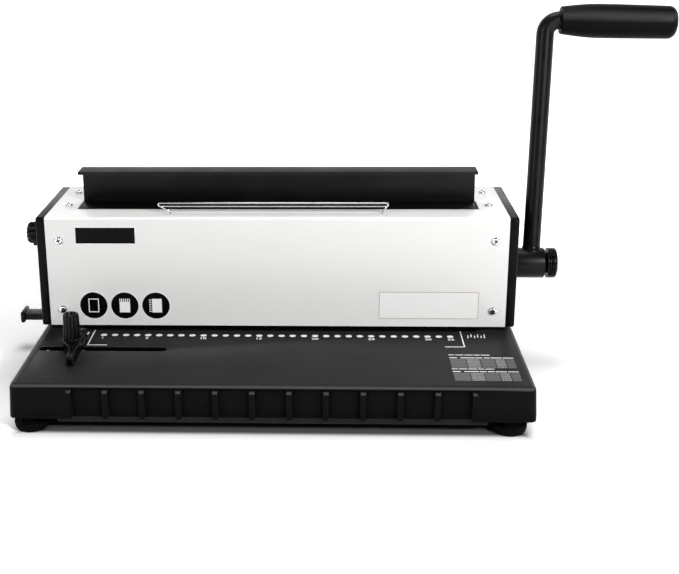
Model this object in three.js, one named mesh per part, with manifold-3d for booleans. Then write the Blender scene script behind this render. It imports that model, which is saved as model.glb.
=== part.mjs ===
// A hand-operated wire binding machine. Sheets go into the gap between its base and its body, the
// handle punches a row of square holes along their edge, and the same pull brings the closer jaw
// down on a wire comb that stands in the opening at the top.
import * as THREE from 'three';
import { mergeVertices } from 'three/addons/utils/BufferGeometryUtils.js';
import Module from 'manifold-3d';

const wasm = await Module();
wasm.setup();

// Driving dimensions, in millimetres. x runs to the right, y to the back, z up. The middle of the
// machine is at x = 0, the foot of the base's front face at y = 0 and the desk at z = 0.
const machineWidth = 360;
const machineDepth = 205;
const footHeight = 12.6;
const baseHeight = 25.5;
const baseWall = 2.5;
const paperGap = 5.2;
const bodyDepth = 100;
const sideCoverThickness = 7;
const coverSheet = 1.5;
const frameSheet = 3;
const frameFlange = 14;

// The holes have the standard pitch of three to the inch, and as many of them as have room.
const pitchSpan = 25.4;
const pitchesInSpan = 3;
const pinWidth = 4;
const punchLineBehindFront = 12;
const punchStroke = 9;
const diePlateDepth = 16;
const diePlateThickness = 6;

const shaftDiameter = 12;
const shaftBehindFront = 50;
const handleTravelDegrees = 95;

const jawSheet = 2.3;
const jawOpening = 25.4;
const jawFlangeDepth = 21;
const closerStroke = 16;

const adjusterDiameter = 6;
const adjusterBehindFront = 34;
const adjusterAboveShaft = 28.5;
const adjusterBelowTop = 21.1;
const adjusterTravelDegrees = 270;
const anvilLift = 6;

const handleReach = 186.5;
const handleRodDiameter = 13.4;
const hubDiameter = 23.6;
const gripLength = 88;
const gripDiameter = 25.7;

const edgeGuideKnobDiameter = 13;
const edgeGuideHeight = 8;
const slotWidth = 8.6;

// Clearances: between pieces that seat on each other, round a turning shaft, beside a sliding
// piece, and under a screw head. A cut runs past the face it opens by the overrun.
const seatGap = 0.3;
const runningGap = 0.06;
const slidingGap = 0.1;
const faceGap = 0.05;
const cutOverrun = 1;

// How many flats a round outline has, and how many steps a rounded corner or end.
const fineSides = 24;
const roundSides = 16;
const smallSides = 8;
const cornerSteps = 3;
const endSteps = 6;

// Planes across the machine, from its sides inwards. The bars end a little inside the frame plates.
const barEndGap = 2.2;
const halfWidth = machineWidth / 2;
const coverHalf = halfWidth - sideCoverThickness;
const frameOuter = coverHalf - coverSheet - seatGap;
const frameInner = frameOuter - frameFlange - frameSheet;
const frameFace = frameInner + frameSheet;
const barHalf = frameInner - barEndGap;

// Planes from front to back.
const bodyFront = machineDepth - bodyDepth;
const bodyRear = machineDepth;
const punchY = bodyFront + punchLineBehindFront;
const shaftY = bodyFront + shaftBehindFront;
const adjusterY = bodyFront + adjusterBehindFront;

// Levels, from the desk up through the base, the punch, the shaft and the adjuster to the top.
const pinStripMargin = 1.2;
const pinStripHeight = 4;
const punchLugThickness = 4.5;
const camRestRadius = 10;
const baseBottom = footHeight;
const baseTop = baseBottom + baseHeight;
const bodyBottom = baseTop + paperGap;
const guidePlateBottom = bodyBottom + seatGap;
const guidePlateTop = guidePlateBottom + diePlateThickness;
const stripBottom = guidePlateTop + punchStroke + pinStripMargin;
const stripTop = stripBottom + pinStripHeight;
const punchBarBottom = stripTop + seatGap;
const lugTop = punchBarBottom + punchLugThickness;
const shaftZ = lugTop + seatGap + camRestRadius;
const adjusterZ = shaftZ + adjusterAboveShaft;
const bodyTop = adjusterZ + adjusterBelowTop;

// Materials.
const finish = (color, roughness, metalness) => new THREE.MeshStandardMaterial({
  color,
  roughness,
  metalness,
  flatShading: true,
});
const blackMoulding = finish(0x26262a, 0.55, 0);
const blackPlastic = finish(0x18181a, 0.5, 0);
const blackEnamel = finish(0x1a1a1d, 0.4, 0.2);
const whiteEnamel = finish(0xececea, 0.35, 0.1);
const rubber = finish(0x121212, 0.9, 0);
const chrome = finish(0xd8d8da, 0.15, 1);
const zincPlate = finish(0xa8abb0, 0.4, 0.9);
const toolSteel = finish(0x6e7175, 0.35, 0.9);
const bronze = finish(0x9c7b45, 0.4, 0.9);

// Turns the extrusion's own axes so that its depth runs along x, y or z.
const unitX = new THREE.Vector3(1, 0, 0);
const unitY = new THREE.Vector3(0, 1, 0);
const unitZ = new THREE.Vector3(0, 0, 1);
const depthAlong = {
  x: new THREE.Matrix4().makeBasis(unitY, unitZ, unitX),
  y: new THREE.Matrix4().makeBasis(unitZ, unitX, unitY),
  z: new THREE.Matrix4(),
};

// A closed solid from a three.js geometry.
function solid(geometry) {
  const bare = new THREE.BufferGeometry();
  bare.setAttribute('position', geometry.getAttribute('position'));
  bare.setIndex(geometry.getIndex());
  const merged = mergeVertices(bare);
  const corners = merged.getIndex().array;
  const kept = [];
  for (let i = 0; i < corners.length; i += 3) {
    const [a, b, c] = corners.slice(i, i + 3);
    if (a !== b && b !== c && c !== a) kept.push(a, b, c);
  }
  return new wasm.Manifold(new wasm.Mesh({
    numProp: 3,
    vertProperties: new Float32Array(merged.getAttribute('position').array),
    triVerts: new Uint32Array(kept),
  }));
}

const join = (...solids) => solids.reduce((whole, next) => whole.add(next));
const cut = (whole, ...tools) => tools.reduce((rest, tool) => rest.subtract(tool), whole);

// An outline's points are (y, z) for a prism along x, (x, z) along y and (x, y) along z.
function prism(axis, outline, from, to, holes = [], bevel = {}) {
  const place = ([a, b]) => (axis === 'y' ? new THREE.Vector2(b, a) : new THREE.Vector2(a, b));
  const shape = new THREE.Shape(outline.map(place));
  shape.holes = holes.map((hole) => new THREE.Path(hole.map(place)));
  const settings = { depth: to - from, bevelEnabled: false, steps: 1, ...bevel };
  const geometry = new THREE.ExtrudeGeometry(shape, settings);
  geometry.translate(0, 0, from);
  return solid(geometry.applyMatrix4(depthAlong[axis]));
}

function box([x0, x1], [y0, y1], [z0, z1]) {
  const geometry = new THREE.BoxGeometry(x1 - x0, y1 - y0, z1 - z0);
  return solid(geometry.translate((x0 + x1) / 2, (y0 + y1) / 2, (z0 + z1) / 2));
}

// The stretch from a to b on one side of the middle plane, in rising order.
const reach = (side, a, b) => (side > 0 ? [a, b] : [-b, -a]);

const degreesPerFace = 11;
const heelSteps = 6;
const degrees = (angle) => THREE.MathUtils.degToRad(angle);

function arc([a, b], radius, start, end, stepCount) {
  return Array.from({ length: stepCount + 1 }, (_, i) => {
    const angle = degrees(start + (end - start) * i / stepCount);
    return [a + radius * Math.cos(angle), b + radius * Math.sin(angle)];
  });
}

// An even row's places, as many as have room on both sides of the middle.
function evenRow(room, pitch) {
  const perSide = Math.floor(room / pitch + 1 / 2);
  return Array.from({ length: 2 * perSide }, (_, i) => (i - perSide + 1 / 2) * pitch);
}

// A slot's outline, which is round at both ends.
const stadium = ([a0, a1], b, r) => [
  ...arc([a0 + r, b], r, 90, 270, endSteps),
  ...arc([a1 - r, b], r, -90, 90, endSteps),
];

const circle = (centre, radius, sides) => arc(centre, radius, 0, 360, sides).slice(0, -1);

// A round hole's outline, whose flats lie at the radius, so a shaft of that radius turns in it.
const bore = (centre, radius, sides) => circle(centre, radius / Math.cos(Math.PI / sides), sides);

// A rectangle with corner radii, given from the low corner round through high a, high b and low a.
function rectangle([a0, a1], [b0, b1], radii = [0, 0, 0, 0]) {
  const corners = [[a0, b0, 180], [a1, b0, 270], [a1, b1, 0], [a0, b1, 90]];
  return corners.flatMap(([a, b, start], i) => {
    const r = radii[i];
    if (r === 0) return [[a, b]];
    const centre = [a + (a === a0 ? r : -r), b + (b === b0 ? r : -r)];
    return arc(centre, r, start, start + 90, cornerSteps);
  });
}

// A turned solid. The profile's points are (distance along the axis, radius).
function turned(axis, profile, sides, place = [0, 0, 0]) {
  const closed = [...profile, profile[0]];
  const area = closed.slice(1).reduce((sum, [h, r], i) => sum + closed[i][0] * r - h * closed[i][1], 0);
  const ordered = area > 0 ? closed.reverse() : closed;
  const points = ordered.map(([h, r]) => new THREE.Vector2(r, h));
  const geometry = new THREE.LatheGeometry(points, sides);
  const stand = { x: depthAlong.y, y: depthAlong.z, z: depthAlong.x };
  return solid(geometry.applyMatrix4(stand[axis]).translate(...place));
}

// A round bar through stations, each a point and the bar's direction there.
class Stations extends THREE.Curve {
  constructor(stations) {
    super();
    this.stations = stations;
  }

  at(share) {
    return this.stations[Math.round(share * (this.stations.length - 1))];
  }

  getPointAt(share, target = new THREE.Vector3()) {
    return target.copy(this.at(share).point);
  }

  getTangentAt(share, target = new THREE.Vector3()) {
    return target.copy(this.at(share).direction).normalize();
  }
}

function bar(stations, radius, sides) {
  const section = new THREE.Shape(circle([0, 0], radius, sides).map(([a, b]) => new THREE.Vector2(a, b)));
  return solid(new THREE.ExtrudeGeometry(section, {
    steps: stations.length - 1,
    extrudePath: new Stations(stations),
  }));
}

const machine = new THREE.Group();

function piece(name, shape, material) {
  const { vertProperties, triVerts } = shape.getMesh();
  const geometry = new THREE.BufferGeometry();
  geometry.setAttribute('position', new THREE.BufferAttribute(vertProperties, 3));
  geometry.setIndex(new THREE.BufferAttribute(triVerts, 1));
  geometry.computeVertexNormals();
  const mesh = new THREE.Mesh(geometry, material);
  mesh.name = name;
  machine.add(mesh);
}

const sides = [['left', -1], ['right', 1]];

// Base shell: a moulded tray turned upside down, with a shallow recess and twelve upright ribs in
// its front. The die plate lies in a pocket in its top, over a chip slot.
const baseSideStep = 0.8;
const baseSideDraft = 1.1;
const baseEdgeRadius = 3.4;
const baseCornerRadius = 5;
const recessEndInset = 39;
const recessDepth = 4;
const recessTopBelow = 2.6;
const ribEndGap = 1;
const ribWidth = 3.8;
const ribTopBelow = 4.6;
const ribChamfer = 1.6;
const diePocketFloor = 2.5;
const chipSlotWidth = 10;
const chipSlotEnd = 16;
const slotEndInset = 5.4;
const slotLength = 95.3;
const slotBeforeBody = 36.5;
const trayBehindBodyFront = 2;
const trayWidth = 73;
const trayHeight = 13.8;
const trayEndHeight = 15.9;
const bottomPlateThickness = 2;

const baseTopHalf = halfWidth + baseSideStep;
const baseFootHalf = baseTopHalf + baseSideDraft;
const recessHalf = halfWidth - recessEndInset;
const slotLeft = slotEndInset - halfWidth;
const slotY = bodyFront - slotBeforeBody;
const diePlateFront = punchY - diePlateDepth / 2;
const diePlateRear = punchY + diePlateDepth / 2;
const diePlateBottom = baseTop - diePlateThickness;
const floorTop = baseBottom + bottomPlateThickness;
const trayBottom = floorTop + seatGap;
const trayTop = trayBottom + trayHeight;
const trayFront = bodyFront + trayBehindBodyFront;
const trayRear = trayFront + trayWidth;
const trayEndTop = trayBottom + trayEndHeight;
const cavityTop = baseTop - baseWall;
const frontWall = recessDepth + baseWall;
const belowBase = baseBottom - cutOverrun;

// A block whose upper edges and upright corners are rounded. Its ends spread from the top to the foot.
function roundedBlock([topHalf, footHalf], [front, rear], [low, high], edgeRadius, cornerRadius) {
  const edge = arc([high - edgeRadius, cornerRadius - edgeRadius], edgeRadius, 90, 0, cornerSteps);
  const upper = [[high - edgeRadius, 0], ...edge, [high, 0]];
  const lower = [[low, 0], [low, cornerRadius], [low + edgeRadius, cornerRadius], [low + edgeRadius, 0]];
  const posts = (profile, half) => [-1, 1].flatMap((side) => {
    return [front + cornerRadius, rear - cornerRadius].map((y) => {
      return turned('z', profile, roundSides, [side * (half - cornerRadius), y, 0]);
    });
  });
  return wasm.Manifold.hull([...posts(upper, topHalf), ...posts(lower, footHalf)]);
}

function rib(x) {
  const top = baseTop - ribTopBelow;
  const back = recessDepth + baseWall / 2;
  const profile = [
    [0, baseBottom],
    [0, top - ribChamfer],
    [ribChamfer, top],
    [back, top],
    [back, baseBottom],
  ];
  return prism('x', profile, x - ribWidth / 2, x + ribWidth / 2);
}

const pocketHalf = barHalf + seatGap;
const pocketFront = diePlateFront - seatGap;
const pocketRear = diePlateRear + seatGap;
const pocketFloor = diePlateBottom - seatGap;
const guideSlot = stadium([slotLeft, slotLeft + slotLength], slotY, slotWidth / 2);
const ribPlaces = evenRow(recessHalf - ribEndGap, pitchSpan);

const baseShell = cut(
  join(
    cut(
      roundedBlock(
        [baseTopHalf, baseFootHalf],
        [0, machineDepth],
        [baseBottom, baseTop],
        baseEdgeRadius,
        baseCornerRadius,
      ),
      box([-recessHalf, recessHalf], [-cutOverrun, recessDepth], [belowBase, baseTop - recessTopBelow]),
      box(
        [baseWall - halfWidth, halfWidth - baseWall],
        [frontWall, machineDepth - baseWall],
        [belowBase, cavityTop],
      ),
    ),
    ...ribPlaces.map(rib),
    box(
      [-pocketHalf - baseWall, pocketHalf + baseWall],
      [pocketFront - baseWall, pocketRear + baseWall],
      [pocketFloor - diePocketFloor, cavityTop + baseWall / 2],
    ),
  ),
  box([-pocketHalf, pocketHalf], [pocketFront, pocketRear], [pocketFloor, baseTop + cutOverrun]),
  box(
    [chipSlotEnd - pocketHalf, pocketHalf - chipSlotEnd],
    [punchY - chipSlotWidth / 2, punchY + chipSlotWidth / 2],
    [pocketFloor - diePocketFloor - cutOverrun, pocketFloor + cutOverrun],
  ),
  prism('z', guideSlot, cavityTop - cutOverrun, baseTop + cutOverrun),
  box(
    [-baseFootHalf - cutOverrun, -halfWidth + baseWall + cutOverrun],
    [trayFront - seatGap, trayRear + seatGap],
    [floorTop, trayEndTop + seatGap],
  ),
);
piece('base_shell', baseShell, blackMoulding);

// Bottom plate: closes the base and carries the feet. A shallow rim under it stiffens it.
const footInset = 12.7;
const footShift = -2.1;
const footFrontInset = 14;
const footStemDiameter = 6;
const footTopDiameter = 24.2;
const rimFootGap = 4;
const rimFront = 5;
const rimRearInset = 16;
const rimWall = 2.5;
const rimHeight = 4.2;

const footX = halfWidth - footInset;
const footPlaces = [
  ['front_left', footShift - footX, footFrontInset],
  ['front_right', footShift + footX, footFrontInset],
  ['rear_left', footShift - footX, machineDepth - footFrontInset],
  ['rear_right', footShift + footX, machineDepth - footFrontInset],
];
const rimHalf = footX - Math.abs(footShift) - footTopDiameter / 2 - rimFootGap;
const plateHalf = halfWidth - baseWall - seatGap;
const plateFront = frontWall + seatGap;
const rimRear = machineDepth - rimRearInset;

const bottomPlate = cut(
  join(
    box(
      [-plateHalf, plateHalf],
      [plateFront, machineDepth - baseWall - seatGap],
      [baseBottom, floorTop],
    ),
    cut(
      box([-rimHalf, rimHalf], [rimFront, rimRear], [baseBottom - rimHeight, baseBottom + rimWall / 2]),
      box(
        [rimWall - rimHalf, rimHalf - rimWall],
        [rimFront + rimWall, rimRear - rimWall],
        [baseBottom - rimHeight - cutOverrun, baseBottom],
      ),
      box([-rimHalf, rimHalf], [0, plateFront], [baseBottom - seatGap, floorTop]),
    ),
  ),
  ...footPlaces.map(([, x, y]) => prism(
    'z',
    bore([x, y], footStemDiameter / 2 + faceGap, smallSides),
    baseBottom - cutOverrun,
    floorTop + cutOverrun,
  )),
);
piece('bottom_plate', bottomPlate, blackEnamel);

// Feet: soft rubber cups, each with a collar against the bottom plate and a stem pressed into it.
const footSoleDiameter = 20.4;
const footCollarDiameter = 15;
const footRimShare = 0.55;

for (const [place, x, y] of footPlaces) {
  const top = footHeight - faceGap;
  const wide = footTopDiameter / 2;
  const sole = footSoleDiameter / 2;
  const rim = top * footRimShare;
  const bowl = [60, 30, 0].map((angle) => [
    rim * (1 - Math.sin(degrees(angle))),
    sole + (wide - sole) * Math.cos(degrees(angle)),
  ]);
  const cup = [[0, 0], [0, sole], ...bowl, [rim, footCollarDiameter / 2], [top, footCollarDiameter / 2]];
  const stem = [[top, footStemDiameter / 2], [floorTop, footStemDiameter / 2], [floorTop, 0]];
  piece(`foot_${place}`, turned('z', [...cup, ...stem], roundSides, [x, y, 0]), rubber);
}

// Chip tray: a drawer under the die that is pulled out at the left by its ribbed pull.
const trayEndInset = 40;
const trayWall = 1.8;
const trayPullLength = 29;
const trayPullDepth = 13.5;
const trayPullThickness = 5.5;
const trayPullFront = 58;
const trayPullBeadWidth = 3.4;
const trayPullBeadHeight = 9.4;
const trayPullBeadRadius = 1.5;
const pullRidgeCount = 12;
const pullRidgeHeight = 0.7;

const trayLeft = -halfWidth;
const trayRight = halfWidth - trayEndInset;
const trayEndInner = trayLeft + baseWall;
const pullFront = trayFront + trayPullFront;
const pullRear = pullFront + trayPullDepth;
const pullTop = trayEndTop;
const pullBottom = pullTop - trayPullThickness;
const beadMiddle = (pullTop + pullBottom) / 2;
const beadLeft = trayLeft - trayPullLength - trayPullBeadWidth;
const ridgePitch = trayPullLength / pullRidgeCount;

function pullSection() {
  const ridges = Array.from({ length: pullRidgeCount }, (_, i) => {
    const x = trayLeft - i * ridgePitch;
    return [[x, pullTop], [x - ridgePitch / 2, pullTop - pullRidgeHeight]];
  });
  const end = trayLeft - trayPullLength;
  return [
    [trayEndInner, pullTop],
    ...ridges.flat(),
    [end, pullTop],
    [end, pullBottom],
    [trayEndInner, pullBottom],
  ];
}

const beadRadii = Array(4).fill(trayPullBeadRadius);
const trayBead = rectangle(
  [beadLeft, beadLeft + trayPullBeadWidth],
  [beadMiddle - trayPullBeadHeight / 2, beadMiddle + trayPullBeadHeight / 2],
  beadRadii,
);
const chipTray = join(
  cut(
    box([trayEndInner - trayWall, trayRight], [trayFront, trayRear], [trayBottom, trayTop]),
    box(
      [trayEndInner, trayRight - trayWall],
      [trayFront + trayWall, trayRear - trayWall],
      [trayBottom + trayWall, trayTop + cutOverrun],
    ),
  ),
  box([trayLeft, trayEndInner], [trayFront, trayRear], [trayBottom, trayEndTop]),
  prism('y', pullSection(), pullFront, pullRear),
  prism('y', trayBead, pullFront - trayPullBeadRadius, pullRear + trayPullBeadRadius),
);
piece('chip_tray', chipTray, blackPlastic);

// Edge guide: an arm on the base's top that the sheets' left edge lies against. Its right side is
// straight, and its round boss carries the clamp knob over the slot.
const guideEdgeInset = 37.9;
const guideArmWidth = 4.7;
const guideArmBeforeSlot = 34.9;
const guideArmBehindSlot = 19.5;
const guideBossRadius = 7.2;
const guideBossStartDegrees = 110;
const guideNubRadius = 2.8;
const guideNubHeight = 1;
const guideFlareLength = 12.4;
const guideTongueLength = 10;
const guideStudDiameter = 5;
const guideKnobHeight = 19.5;
const guideKnobTopShare = 0.9;
const guideFluteCount = 12;
const guideFluteDepth = 0.6;
const guideNutSize = 15;
const guideNutThickness = 4.2;

const guideBottom = baseTop + slidingGap;
const guideTop = guideBottom + edgeGuideHeight;
const guideStraightEdge = guideEdgeInset - halfWidth;
const guideArmLeft = guideStraightEdge - guideArmWidth;
const guideKnobX = guideStraightEdge - guideBossRadius;
const guideKnobY = slotY;
const guideArmFront = slotY - guideArmBeforeSlot;
const guideArmRear = slotY + guideArmBehindSlot;
const guideFlareFront = guideArmFront + guideFlareLength;
const guideNubY = guideArmRear - guideNubRadius;

function guideOutline() {
  const bossLeft = guideKnobX - guideBossRadius;
  const flareRear = guideKnobY - guideBossRadius / 2;
  const flare = new THREE.CubicBezierCurve(
    new THREE.Vector2(guideArmLeft, guideFlareFront),
    new THREE.Vector2(guideArmLeft, (guideFlareFront + flareRear) / 2),
    new THREE.Vector2(bossLeft, flareRear - guideBossRadius / 2),
    new THREE.Vector2(bossLeft, guideKnobY),
  );
  return [
    [guideStraightEdge, guideArmFront],
    [guideStraightEdge, guideArmRear],
    [guideArmLeft, guideArmRear],
    [guideArmLeft, guideKnobY + guideBossRadius],
    ...arc([guideKnobX, guideKnobY], guideBossRadius, guideBossStartDegrees, 180, endSteps),
    ...flare.getPoints(endSteps).slice(0, -1).reverse().map(({ x, y }) => [x, y]),
    [guideArmLeft, guideArmFront],
  ];
}

const nubX = (guideStraightEdge + guideArmLeft) / 2;
const guideStudBore = bore([guideKnobX, guideKnobY], guideStudDiameter / 2 + runningGap, roundSides);
const guideTongueHalf = slotWidth / 2 - seatGap;
const guideTongue = stadium(
  [guideKnobX - guideTongueLength / 2, guideKnobX + guideTongueLength / 2],
  guideKnobY,
  guideTongueHalf,
);
const edgeGuide = cut(
  join(
    prism('z', guideOutline(), guideBottom, guideTop),
    prism('z', circle([nubX, guideNubY], guideNubRadius, roundSides), guideBottom, guideTop + guideNubHeight),
    prism('z', guideTongue, cavityTop + seatGap, guideBottom + slidingGap),
  ),
  prism('z', guideStudBore, cavityTop, guideTop + cutOverrun),
);
piece('edge_guide', edgeGuide, blackPlastic);

const pointsPerFlute = 4;

function flutedOutline(centre, radius, depth, count) {
  const pointCount = count * pointsPerFlute;
  return Array.from({ length: pointCount }, (_, i) => {
    const angle = degrees(360 * i / pointCount);
    const r = i % pointsPerFlute < pointsPerFlute / 2 ? radius : radius - depth;
    return [centre[0] + r * Math.cos(angle), centre[1] + r * Math.sin(angle)];
  });
}

const guideKnobBottom = guideTop + slidingGap;
const guideKnobTop = guideKnobBottom + guideKnobHeight;
const guideNutTop = cavityTop - seatGap;
const guideNutBottom = guideNutTop - guideNutThickness;
const guideKnobRadius = edgeGuideKnobDiameter / 2;
const guideKnobTopRadius = guideKnobRadius * guideKnobTopShare;
const guideKnobCone = turned('z', [
  [guideKnobBottom, 0],
  [guideKnobBottom, guideKnobRadius],
  [guideKnobTop - guideFluteDepth, guideKnobTopRadius],
  [guideKnobTop, guideKnobTopRadius - guideFluteDepth],
  [guideKnobTop, 0],
], fineSides, [guideKnobX, guideKnobY, 0]);
const guideKnobCentre = [guideKnobX, guideKnobY];
const guideKnobFlutes = flutedOutline(guideKnobCentre, guideKnobRadius, guideFluteDepth, guideFluteCount);
const guideStud = circle(guideKnobCentre, guideStudDiameter / 2, roundSides);
const edgeGuideKnob = join(
  guideKnobCone.intersect(prism('z', guideKnobFlutes, guideKnobBottom, guideKnobTop)),
  prism('z', guideStud, guideNutBottom, guideKnobTop - guideFluteDepth),
);
piece('edge_guide_knob', edgeGuideKnob, blackPlastic);

const edgeGuideNut = prism(
  'z',
  rectangle(
    [guideKnobX - guideNutSize / 2, guideKnobX + guideNutSize / 2],
    [guideKnobY - guideNutSize / 2, guideKnobY + guideNutSize / 2],
  ),
  guideNutBottom,
  guideNutTop,
  [guideStudBore],
);
piece('edge_guide_nut', edgeGuideNut, zincPlate);

// Frame plates: folded steel pans that stand on the base and carry everything inside the body.
// Their front part ends above the sheets' gap.
const frameStepBehindPunch = 11;
const frameCorner = 2;
const bushDiameter = 16;
const screwShank = 4;
const frontScrewInset = 10;
const frontScrewTopBelow = 17.6;
const frontScrewBottomAbove = 13.1;
const topScrewInset = 11.7;
const topScrewBehindFront = 35.5;
const topScrewBeforeRear = 22.7;

const frontScrewX = coverHalf - frontScrewInset;
const topScrewX = coverHalf - topScrewInset;
const topScrewPlaces = { front: bodyFront + topScrewBehindFront, rear: bodyRear - topScrewBeforeRear };
const frameFront = bodyFront + coverSheet + seatGap;
const frameRear = bodyRear - coverSheet - seatGap;
const frameTop = bodyTop - coverSheet - seatGap;
const frameStepY = punchY + frameStepBehindPunch;
const frameFootZ = baseTop + seatGap;
const frameStepZ = bodyBottom + seatGap;
const frontScrewLevels = { top: bodyTop - frontScrewTopBelow, bottom: bodyBottom + frontScrewBottomAbove };
const screwHole = screwShank / 2 + seatGap;

function steppedOutline(front, rear, stepY, stepZ, footZ, top, radius = 0) {
  const shoulders = rectangle([front, rear], [stepZ, top], [0, 0, radius, radius]).slice(2);
  return [[front, stepZ], [stepY, stepZ], [stepY, footZ], [rear, footZ], ...shoulders];
}

for (const [name, side] of sides) {
  const outer = steppedOutline(
    frameFront,
    frameRear,
    frameStepY,
    frameStepZ,
    frameFootZ,
    frameTop,
    frameCorner,
  );
  const inner = steppedOutline(
    frameFront + frameSheet,
    frameRear - frameSheet,
    frameStepY + frameSheet,
    frameStepZ + frameSheet,
    frameFootZ + frameSheet,
    frameTop - frameSheet,
  );
  const through = reach(side, frameInner - cutOverrun, frameFace + cutOverrun);
  const frame = cut(
    prism('x', outer, ...reach(side, frameInner, frameOuter)),
    prism('x', inner, ...reach(side, frameFace, frameOuter + cutOverrun)),
    prism('x', bore([shaftY, shaftZ], bushDiameter / 2 + faceGap, roundSides), ...through),
    prism('x', bore([adjusterY, adjusterZ], adjusterDiameter / 2 + runningGap, roundSides), ...through),
    ...Object.values(frontScrewLevels).map((z) => prism(
      'y',
      circle([side * frontScrewX, z], screwHole, smallSides),
      frameFront - cutOverrun,
      frameFront + frameSheet + cutOverrun,
    )),
    ...Object.values(topScrewPlaces).map((y) => prism(
      'z',
      circle([side * topScrewX, y], screwHole, smallSides),
      frameTop - frameSheet - cutOverrun,
      frameTop + cutOverrun,
    )),
  );
  piece(`frame_${name}`, frame, zincPlate);
}

// Tie bar: a round spacer that holds the two frame plates apart, and the jaw springs hang on it.
const tieBarDiameter = 10;
const tieBarBehindShaft = 22;
const tieBarBelowTop = 12;
const tieBarY = shaftY + tieBarBehindShaft;
const tieBarZ = bodyTop - tieBarBelowTop;
const tieBarEnd = frameInner - seatGap;
const tieBarOutline = circle([tieBarY, tieBarZ], tieBarDiameter / 2, roundSides);
piece('tie_bar', prism('x', tieBarOutline, -tieBarEnd, tieBarEnd), zincPlate);

// Front cover: one folded white sheet for the body's front and top, open over the closer.
const foldRadius = 2.2;
const topOpeningFront = 25.4;
const topOpeningEndGap = 1;
const webGap = 1;
const wireHolderX = 79.5;
const wireHolderBehindFront = 11.2;
const wireDiameter = 1.5;

const jawRear = shaftY + jawSheet / 2;
const jawWebFront = jawRear - jawSheet;
const openingFront = bodyFront + topOpeningFront;
const openingRear = jawRear + webGap;
const openingHalf = barHalf + topOpeningEndGap;
const wireHolderY = bodyFront + wireHolderBehindFront;
const wireHole = wireDiameter / 2 + seatGap;

function foldedSheet() {
  const inner = foldRadius - coverSheet;
  const centre = [bodyFront + foldRadius, bodyTop - foldRadius];
  return [
    [bodyFront, bodyBottom],
    ...arc(centre, foldRadius, 180, 90, cornerSteps),
    [bodyRear, bodyTop],
    [bodyRear, bodyTop - coverSheet],
    ...arc(centre, inner, 90, 180, cornerSteps),
    [bodyFront + coverSheet, bodyBottom],
  ];
}

const throughTop = [bodyTop - coverSheet - cutOverrun, bodyTop + cutOverrun];
const frontCover = cut(
  prism('x', foldedSheet(), -coverHalf, coverHalf),
  box([-openingHalf, openingHalf], [openingFront, openingRear], throughTop),
  ...sides.flatMap(([, side]) => [
    ...Object.values(frontScrewLevels).map((z) => prism(
      'y',
      circle([side * frontScrewX, z], screwHole, smallSides),
      bodyFront - cutOverrun,
      bodyFront + coverSheet + cutOverrun,
    )),
    ...Object.values(topScrewPlaces).map((y) => prism(
      'z',
      circle([side * topScrewX, y], screwHole, smallSides),
      ...throughTop,
    )),
    prism('z', circle([side * wireHolderX, wireHolderY], wireHole, smallSides), ...throughTop),
  ]),
);
piece('front_cover', frontCover, whiteEnamel);

const rearCover = box(
  [-coverHalf, coverHalf],
  [bodyRear - coverSheet, bodyRear],
  [frameFootZ, bodyTop - coverSheet - seatGap],
);
piece('rear_cover', rearCover, whiteEnamel);

// Side covers: moulded caps with a rounded outer edge, each held off the frame by four posts.
const sideCoverCorner = 3;
const sideCoverEdge = 1.6;
const sideCoverWall = 2.4;
const sideCoverRim = 3;
const coverPostDiameter = 8;
const coverPostInset = 17;
const coverPostBelowTop = 14;
const shaftHoleGap = 0.6;

const coverPostPlaces = [bodyFront + coverPostInset, bodyRear - coverPostInset].flatMap((y) => [
  [y, bodyBottom + coverPostInset],
  [y, bodyTop - coverPostBelowTop],
]);

for (const [name, side] of sides) {
  const outline = steppedOutline(
    bodyFront,
    bodyRear,
    frameStepY,
    bodyBottom,
    frameFootZ,
    bodyTop,
    sideCoverCorner,
  );
  const rim = sideCoverRim;
  const pocket = steppedOutline(
    bodyFront + rim,
    bodyRear - rim,
    frameStepY + rim,
    bodyBottom + rim,
    frameFootZ + rim,
    bodyTop - rim,
  );
  const innerFace = coverHalf + seatGap;
  const pocketFace = halfWidth - sideCoverWall;
  const bevel = {
    bevelEnabled: true,
    bevelThickness: sideCoverEdge,
    bevelSize: sideCoverEdge,
    bevelOffset: -sideCoverEdge,
    bevelSegments: cornerSteps,
  };
  const deep = coverHalf - sideCoverThickness;
  const [low, high] = reach(side, deep, halfWidth - sideCoverEdge);
  const shaftHole = shaftDiameter / 2 + shaftHoleGap;
  const adjusterHole = adjusterDiameter / 2 + shaftHoleGap;
  const hole = side > 0
    ? circle([shaftY, shaftZ], shaftHole, roundSides)
    : circle([adjusterY, adjusterZ], adjusterHole, roundSides);
  const room = [0, machineDepth * 2];
  const blank = cut(
    prism('x', outline, low, high, [], bevel),
    box(reach(side, 0, innerFace), room, room),
    prism('x', pocket, ...reach(side, innerFace - cutOverrun, pocketFace)),
  );
  const posts = coverPostPlaces.map((place) => prism(
    'x',
    circle(place, coverPostDiameter / 2, smallSides),
    ...reach(side, frameFace + seatGap, pocketFace + sideCoverWall / 2),
  ));
  const cover = cut(
    join(blank, ...posts),
    prism('x', hole, ...reach(side, pocketFace - cutOverrun, halfWidth + cutOverrun)),
  );
  piece(`side_cover_${name}`, cover, blackPlastic);
}

// Cover screws: bright pan heads.
const screwHeadDiameter = 6.2;
const screwHeadHeight = 2;
const screwLength = 9;
const screwCrownShare = 0.55;
const screwSides = 10;

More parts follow.
